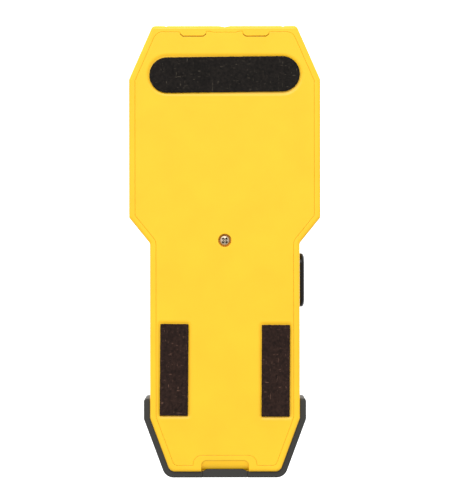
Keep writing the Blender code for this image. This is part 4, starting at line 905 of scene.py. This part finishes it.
def cover_screw():
    """Pan-head screw whose cross recess is coloured dark as painted shade, unlike its plated head."""
    profile = screw_profile(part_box("cover_screw")[1].y)
    screw = lofted("screw", disc(COVER_SCREW, 0.0), [(-radius, y) for radius, y in profile])
    cut(screw, cross_arm(45.0), cross_arm(135.0))
    piece(screw, "case_screw", STEEL, "cover_screw", angle=28)
    # Faces down in the cross take the dark colour, as painted shade in the recess.
    screw.data.materials.append(RECESS)
    for face in screw.data.polygons:
        centre = face.center
        in_head = SCREW_BACK_Y + 0.05 * MM < centre.y < SCREW_SEAT_Y
        reach = math.hypot(centre.x - COVER_SCREW.x, centre.z - COVER_SCREW.y)
        if in_head and reach < 1.9 * MM and face.normal.y > -0.6:
            face.material_index = 1


# ---------- felt and foam


def refined(points, spacing, counts=None):
    """Extra points along a ring's sides. The counts of one ring serve the rings inside it too."""
    sides = list(zip(points, points[1:] + points[:1]))
    counts = counts or [max(1, round((b - a).length / spacing)) for a, b in sides]
    ring = []
    for (a, b), count in zip(sides, counts):
        ring += [a.lerp(b, k / count) for k in range(count)]
    return ring, counts


def soft_block(name, shape, half_width, span, axis, spacing, roughness, edge):
    """Felt or foam block between two depths: matted faces, round edges and ragged sides."""
    low, high = span
    insets = [spacing * k for k in range(int((half_width - 0.05 * MM) / spacing))]
    levels = [(inset, low + edge * max(0.0, 1 - inset / edge) ** 2) for inset in reversed(insets)]
    sides = max(1, round((high - low - 2 * edge) / spacing))
    levels += [(0.0, low + edge + (high - low - 2 * edge) * k / sides) for k in range(1, sides)]
    levels += [(inset, high - edge * max(0.0, 1 - inset / edge) ** 2) for inset in insets]
    _, counts = refined(shape(0.0), spacing)
    rings = []
    for inset, depth in levels:
        points, _ = refined(shape(inset), spacing, counts)
        ring = []
        for p in points:
            place = AXES[axis](p, depth)
            coarse = noise.noise_vector(place / (0.9 * MM))
            fine = noise.noise_vector(place / (0.28 * MM))
            ring.append(place + (coarse * 0.6 + fine * 0.7) * roughness)
        rings.append(ring)
    return stack(name, rings)


def felt_pads():
    """Felt glides, a little off square as they were stuck on."""
    for name, (x, z, width, height, radius, skew) in PADS.items():
        low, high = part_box(name)
        shape = rectangle(width, height, radius, (x, z), skew, segments=2 * ARC)
        half = min(width, height) / 2
        span = (low.y + 0.05 * MM, high.y)
        pad = soft_block(name, shape, half, span, "Y", 0.3 * MM, 0.09 * MM, 0.25 * MM)
        finish = FELT_TOP if name == "felt_pad_top" else FELT_LOW
        piece(pad, name.replace("pad", "glide"), finish, name, angle=80)


def door_foam():
    """Cushion on the door that presses on the battery."""
    low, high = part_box("door_foam")
    size, centre = high - low, (low + high) / 2
    shape = rectangle(size.x, size.y, 0.5 * MM, (centre.x, centre.y))
    span = (low.z + 0.04 * MM, high.z - 0.04 * MM)
    pad = soft_block("foam", shape, size.y / 2, span, "Z", 0.4 * MM, 0.1 * MM, 0.35 * MM)
    piece(pad, "battery_cushion", FOAM, "door_foam", "door", 80)


# ---------- foot


def foot_bumper():
    """Rubber boot around the foot: sides, underside and lower front."""
    side = HANDLE_HALF_WIDTH + BUMPER_SIDE
    corners = (
        (FOOT_HALF_WIDTH + BUMPER_FOOT, 0.0, 4.5 * MM),
        (side, FOOT_CHAMFER_Z - 0.4 * MM, 2.2 * MM),
        (side, BUMPER_TOP_Z, 1.1 * MM),
    )
    levels = rounded_levels(BUMPER_BACK_Y, shifted(front_y, BUMPER_FRONT), 0.6 * MM, FRONT_RADIUS)
    boot = lofted("boot", symmetric(corners, STEP), levels, ladder=True)
    fit = BUMPER_FIT
    levels = rounded_levels(BACK_Y - fit, shifted(front_y, fit), RIM_RADIUS, FRONT_RADIUS)
    inside = lofted("inside", body_shape(), [(inset - fit, y) for inset, y in levels], ladder=True)
    below, above = -OVERRUN, FOOT_Z + OVERRUN
    half, front = DOOR_HALF_WIDTH + GAP, HINGE_Y + 2.6 * MM
    shape = rectangle(2 * half, front - DOOR_BACK_Y + GAP, 0.6 * MM, (0.0, (front + DOOR_BACK_Y - GAP) / 2))
    door_room = lofted("door_room", shape, [(0.0, below), (0.0, above)], "Z")
    half = LIP_HALF_WIDTH + LIP_GAP
    lip_room = box("lip_room", (-half, BUMPER_BACK_Y - OVERRUN, below), (half, DOOR_BACK_Y, above))
    cut(boot, inside, door_room, lip_room)
    for left, right in lug_spans():
        low = (left - GAP, HINGE_Y - 2 * MM, below)
        cut(boot, box("lug_room", low, (right + GAP, HINGE_Y + 2 * MM, above)))
    piece(boot, "boot", BUMPER, "foot_bumper")


def door_block(name, low, high, corner, edge):
    """Block with round corners, seen from below, and rounded edges above and below."""
    size = (high[0] - low[0], high[1] - low[1])
    shape = rectangle(*size, corner, ((low[0] + high[0]) / 2, (low[1] + high[1]) / 2))
    return lofted(name, shape, rounded_levels(low[2], high[2], edge, edge), "Z")


def latch_lip(root, back):
    """Lip for a fingernail, with sloping ends."""
    top = (LIP_HALF_WIDTH - LIP_SLOPE, FOOT_Z + 0.9 * MM, 0.6 * MM)
    corners = ((LIP_HALF_WIDTH, root, 0.1 * MM), (LIP_HALF_WIDTH, FOOT_Z - 0.1 * MM, 0.2 * MM), top)
    return lofted("lip", symmetric(corners), rounded_levels(back, back + LIP_THICKNESS, 0.15 * MM, 0.15 * MM))


def battery_door():
    """Flap on a pin at the front, with a lip to pull and a prong that holds it shut."""
    top = FOOT_Z - GAP
    root = top - 0.6 * MM
    lip_back = BUMPER_BACK_Y + GAP
    bottom = DOOR_BOTTOM_Z
    half = DOOR_HALF_WIDTH
    door = door_block("door", (-half, DOOR_BACK_Y, bottom), (half, HINGE_Y, top), 0.6 * MM, 0.2 * MM)
    low = (-LIP_HALF_WIDTH, lip_back, bottom)
    tongue = door_block("tongue", low, (LIP_HALF_WIDTH, DOOR_BACK_Y + MM, top), 0.15 * MM, 0.12 * MM)
    low = (-PRONG_HALF_WIDTH, BAY_BACK_Y - 0.8 * MM, root)
    prong = door_block("prong", low, (PRONG_HALF_WIDTH, BAY_BACK_Y, FOOT_Z + 3.5 * MM), 0.3 * MM, 0.25 * MM)
    hinge, edge = (HINGE_Y, HINGE_Z), 0.2 * MM
    barrel = rod("barrel", hinge, 1.4 * MM, "X", -half, half, low_round=edge, high_round=edge)
    join(door, tongue, latch_lip(root, lip_back), prong, barrel)
    cut(door, rod("barrel_bore", hinge, HINGE_BORE, "X", -half - OVERRUN, half + OVERRUN))
    levels = cutter_levels(bottom, bottom + 0.3 * MM, mouth=0.15 * MM)
    for k in range(DOOR_GROOVES):
        y = lip_back + 2.2 * MM + k * 1.6 * MM
        shape = rectangle(13 * MM, 0.8 * MM, 0.4 * MM, (0.0, y))
        cut(door, lofted("groove", shape, levels, "Z"))
    piece(door, "battery_flap", BUMPER, "battery_door", "door")


def hinge_pin():
    """Pin through the lugs and the door's barrel."""
    low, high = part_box("door_hinge_pin")
    edge = 0.15 * MM
    pin = rod("pin", (HINGE_Y, HINGE_Z), 0.6 * MM, "X", low.x, high.x, low_round=edge, high_round=edge)
    piece(pin, "hinge_pin", STEEL, "door_hinge_pin")


# ---------- front


def front_grip():
    """Soft pad with ribs across it."""
    face = shifted(front_y, GRIP_PROUD)
    levels = rounded_levels(shifted(front_y, 0.15 * MM - GRIP_RECESS), face, 0.0, 0.6 * MM)
    grip = lofted("grip", grip_shape(), levels, ladder=True)
    levels = cutter_levels(face, shifted(front_y, 0.25 * MM), -1, mouth=0.3 * MM, fillet=0.2 * MM)
    low, high = GRIP_BOTTOM_Z + 6 * MM, GRIP_TOP_Z - 6 * MM
    for k in range(GRIP_GROOVES):
        z = low + (high - low) * k / (GRIP_GROOVES - 1)
        cut(grip, lofted("groove", rectangle(33 * MM, 1.6 * MM, 0.8 * MM, (0.0, z)), levels))
    piece(grip, "grip", GRIP, "front_grip")


def lights():
    """Shape of every light's window: an arrow, three pairs of bars and a dot."""
    triangle = [(6.5 * MM, 8 * MM), (0.0, 16.5 * MM), (-6.5 * MM, 8 * MM)]
    found = [polygon([(x, DISPLAY_Z + rise, 0.5 * MM) for x, rise in triangle])]
    for x, rise in ((5.6 * MM, 2.6 * MM), (7.4 * MM, -3 * MM), (9.2 * MM, -8.6 * MM)):
        for side in (-1, 1):
            found.append(rectangle(6 * MM, 2.6 * MM, 0.8 * MM, (side * x, DISPLAY_Z + rise)))
    return [*found, disc((0.0, DISPLAY_Z - 14.5 * MM), 1.6 * MM)]


def display_front():
    """Bezel with a window for each light, and the light guide whose tips stand in the windows."""
    low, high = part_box("display_bezel")
    bezel = lofted("bezel", bezel_shape(), rounded_levels(low.y, high.y, 0.0, 0.5 * MM), ladder=True)
    tip_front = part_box("light_guide")[1].y
    web_front = HEAD_FRONT_Y - WALL - GAP
    web = rectangle(29.2 * MM, 40.2 * MM, 2 * MM, (0.0, DISPLAY_Z))
    guide = lofted("guide", web, rounded_levels(web_front - MM, web_front, 0.15 * MM, 0.15 * MM))
    for shape in lights():
        levels = cutter_levels(high.y, low.y - OVERRUN, -1, mouth=0.2 * MM, inset=-LIGHT_FIT)
        cut(bezel, lofted("window", shape, levels))
        join(guide, lofted("tip", shape, rounded_levels(web_front - 0.4 * MM, tip_front, 0.0, 0.25 * MM)))
    piece(bezel, "bezel", GLOSS, "display_bezel")
    piece(guide, "guide", RED_GUIDE, "light_guide")


def scan_button():
    """Domed rubber button in the handle's side, with its flange and pusher."""
    outer = HANDLE_HALF_WIDTH - WALL - GAP
    reach, drop = BUTTON_DOME
    levels = [(0.0, outer - 0.3 * MM)]
    for turn in quarter(10):
        rise = drop * math.sin(turn)
        levels.append((reach * (1 - math.cos(turn)), HANDLE_HALF_WIDTH + BUTTON_PROUD - drop + rise))
    levels.append((reach * 1.6, HANDLE_HALF_WIDTH + BUTTON_PROUD))
    button = lofted("button", button_shape(), levels, "X")
    size = (BUTTON_WIDTH + 2.6 * MM, BUTTON_LENGTH + 2.6 * MM)
    shape = rectangle(*size, BUTTON_WIDTH / 2, (BUTTON_Y, BUTTON_Z))
    flange = lofted("flange", shape, rounded_levels(outer - 1.2 * MM, outer, 0.2 * MM, 0.2 * MM), "X")
    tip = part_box("scan_button")[0].x
    plunger_low, plunger_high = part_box("switch_plunger")
    place = ((plunger_low.y + plunger_high.y) / 2, BUTTON_Z)
    pusher = rod("pusher", place, 1.3 * MM, "X", tip, outer - 0.9 * MM, low_round=0.25 * MM)
    join(button, flange, pusher)
    piece(button, "trigger", BUTTON, "scan_button", "button")


def battery_can():
    """Battery can with its ends crimped over the plates."""
    low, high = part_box("battery_body")
    size, centre = high - low, (low + high) / 2
    shape = rectangle(size.x, size.y, 2.2 * MM, (centre.x, centre.y))
    crimp = ((0.8, 0.25), (0.7, 0.02), (0.3, 0.02), (0.08, 0.15), (0.0, 0.45), (0.0, 1.3))
    crimp += ((0.18, 1.5), (0.02, 1.75))
    levels = [(inset * MM, low.z + rise * MM) for inset, rise in crimp]
    levels += [(inset * MM, high.z - rise * MM) for inset, rise in reversed(crimp)]
    levels = [(3 * MM, levels[0][1]), *levels, (3 * MM, levels[-1][1])]
    can = lofted("can", shape, levels, "Z")
    piece(can, "battery_can", WRAP, "battery_body")


# ---------- other pieces, which keep the CAD shape

# Finish by how a node's name starts. The chips and connectors that are left have the chip's.
CARRIED = (
    (("crystal",), CAN),
    (("switch_plunger", "battery_lead_black"), BLACK_WIRE),
    (("board_screw", "display_screw"), STEEL),
    (("sensor_board", "display_board"), BOARD),
    (("sensor_plate",), COPPER),
    (("led_",), LED),
    (("battery_lead_red",), RED_WIRE),
    (("battery_bay",), BAY),
    (("battery_stud", "battery_crown", "snap_socket", "snap_stud"), NICKEL),
    (("snap_connector",), SNAP),
    (("capacitor",), WRAP),
)


def carry_over():
    """Gives the CAD's own pieces that stay visible their finishes."""
    for name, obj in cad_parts.items():
        if obj.hide_render:
            continue
        finish = next((made for starts, made in CARRIED if name.startswith(starts)), CHIP)
        obj.data.materials.clear()
        obj.data.materials.append(finish)
        obj.data.polygons.foreach_set("material_index", [0] * len(obj.data.polygons))


# ---------- studio


def studio_floor():
    """Pale floor, far enough under the tool for its battery door to swing open."""
    bm = bmesh.new()
    bm.faces.new([bm.verts.new((x * FLOOR_HALF_SIZE, y * FLOOR_HALF_SIZE, FLOOR_Z)) for x, y in SQUARE])
    floor = new_object("studio_floor", bm)
    made, shader = new_material("floor_paint", (0.5, 0.5, 0.5), 0.9)
    shader.inputs["Emission Color"].default_value = (1.0, 1.0, 1.0, 1.0)
    shader.inputs["Emission Strength"].default_value = 0.8
    tone = spread(made, grain(made, 40.0), 0.0, 1.0)
    link(made, mix_colours(made, tone, (0.5, 0.5, 0.5), (0.53, 0.53, 0.53)), shader.inputs["Base Color"])
    floor.data.materials.append(made)
    floor.visible_diffuse = False
    floor.visible_glossy = False


def soft_world():
    """Even studio light that is stronger from above and from behind the tool."""
    world = bpy.data.worlds.new("studio")
    bpy.context.scene.world = world
    world.use_nodes = True
    background = world.node_tree.nodes["Background"]
    place = node(world, "ShaderNodeTexCoord")
    split = node(world, "ShaderNodeSeparateXYZ")
    link(world, place.outputs["Generated"], split.inputs["Vector"])
    ramp = node(world, "ShaderNodeValToRGB")
    link(world, spread(world, split.outputs["Z"], 0.0, 1.0, -1.0, 1.0), ramp.inputs["Fac"])
    stops = ramp.color_ramp.elements
    while len(stops) < len(WORLD):
        stops.new(0.5)
    for stop, (rise, level) in zip(stops, WORLD):
        stop.position = (rise + 1) / 2
        stop.color = (level, level, level, 1.0)
    link(world, ramp.outputs["Color"], background.inputs["Color"])
    strength = spread(world, split.outputs["Y"], 1.0, 1.0 + WORLD_BEHIND)
    link(world, strength, background.inputs["Strength"])


def key_light():
    """Large softbox above and behind the tool, aimed at its middle."""
    light = bpy.data.lights.new("key", "AREA")
    light.shape = "RECTANGLE"
    light.size, light.size_y = KEY_SIZE
    light.energy = KEY_POWER
    obj = bpy.data.objects.new("key", light)
    obj.location = KEY_PLACE
    aim = Vector((0.0, 0.0, 0.09))
    obj.rotation_mode = "QUATERNION"
    obj.rotation_quaternion = (aim - Vector(KEY_PLACE)).to_track_quat("-Z", "Y")
    bpy.context.scene.collection.objects.link(obj)


def studio_camera():
    """Long lens straight behind the tool."""
    data = bpy.data.cameras.new("camera")
    data.lens = CAMERA_LENS
    data.sensor_width = 36.0
    data.clip_start, data.clip_end = 0.01, 20.0
    obj = bpy.data.objects.new("camera", data)
    obj.location = (CAMERA_AIM[0], BACK_Y - CAMERA_DISTANCE, CAMERA_AIM[1])
    obj.rotation_euler = (math.radians(90.0), math.radians(CAMERA_ROLL), 0.0)
    bpy.context.scene.collection.objects.link(obj)
    bpy.context.scene.camera = obj


noise.seed_set(NOISE_SEED)
front_shell()
rear_cover()
cover_screw()
felt_pads()
foot_bumper()
battery_door()
hinge_pin()
door_foam()
front_grip()
display_front()
scan_button()
battery_can()
carry_over()

studio_floor()
soft_world()
key_light()
studio_camera()
bpy.context.scene.view_settings.view_transform = "Standard"
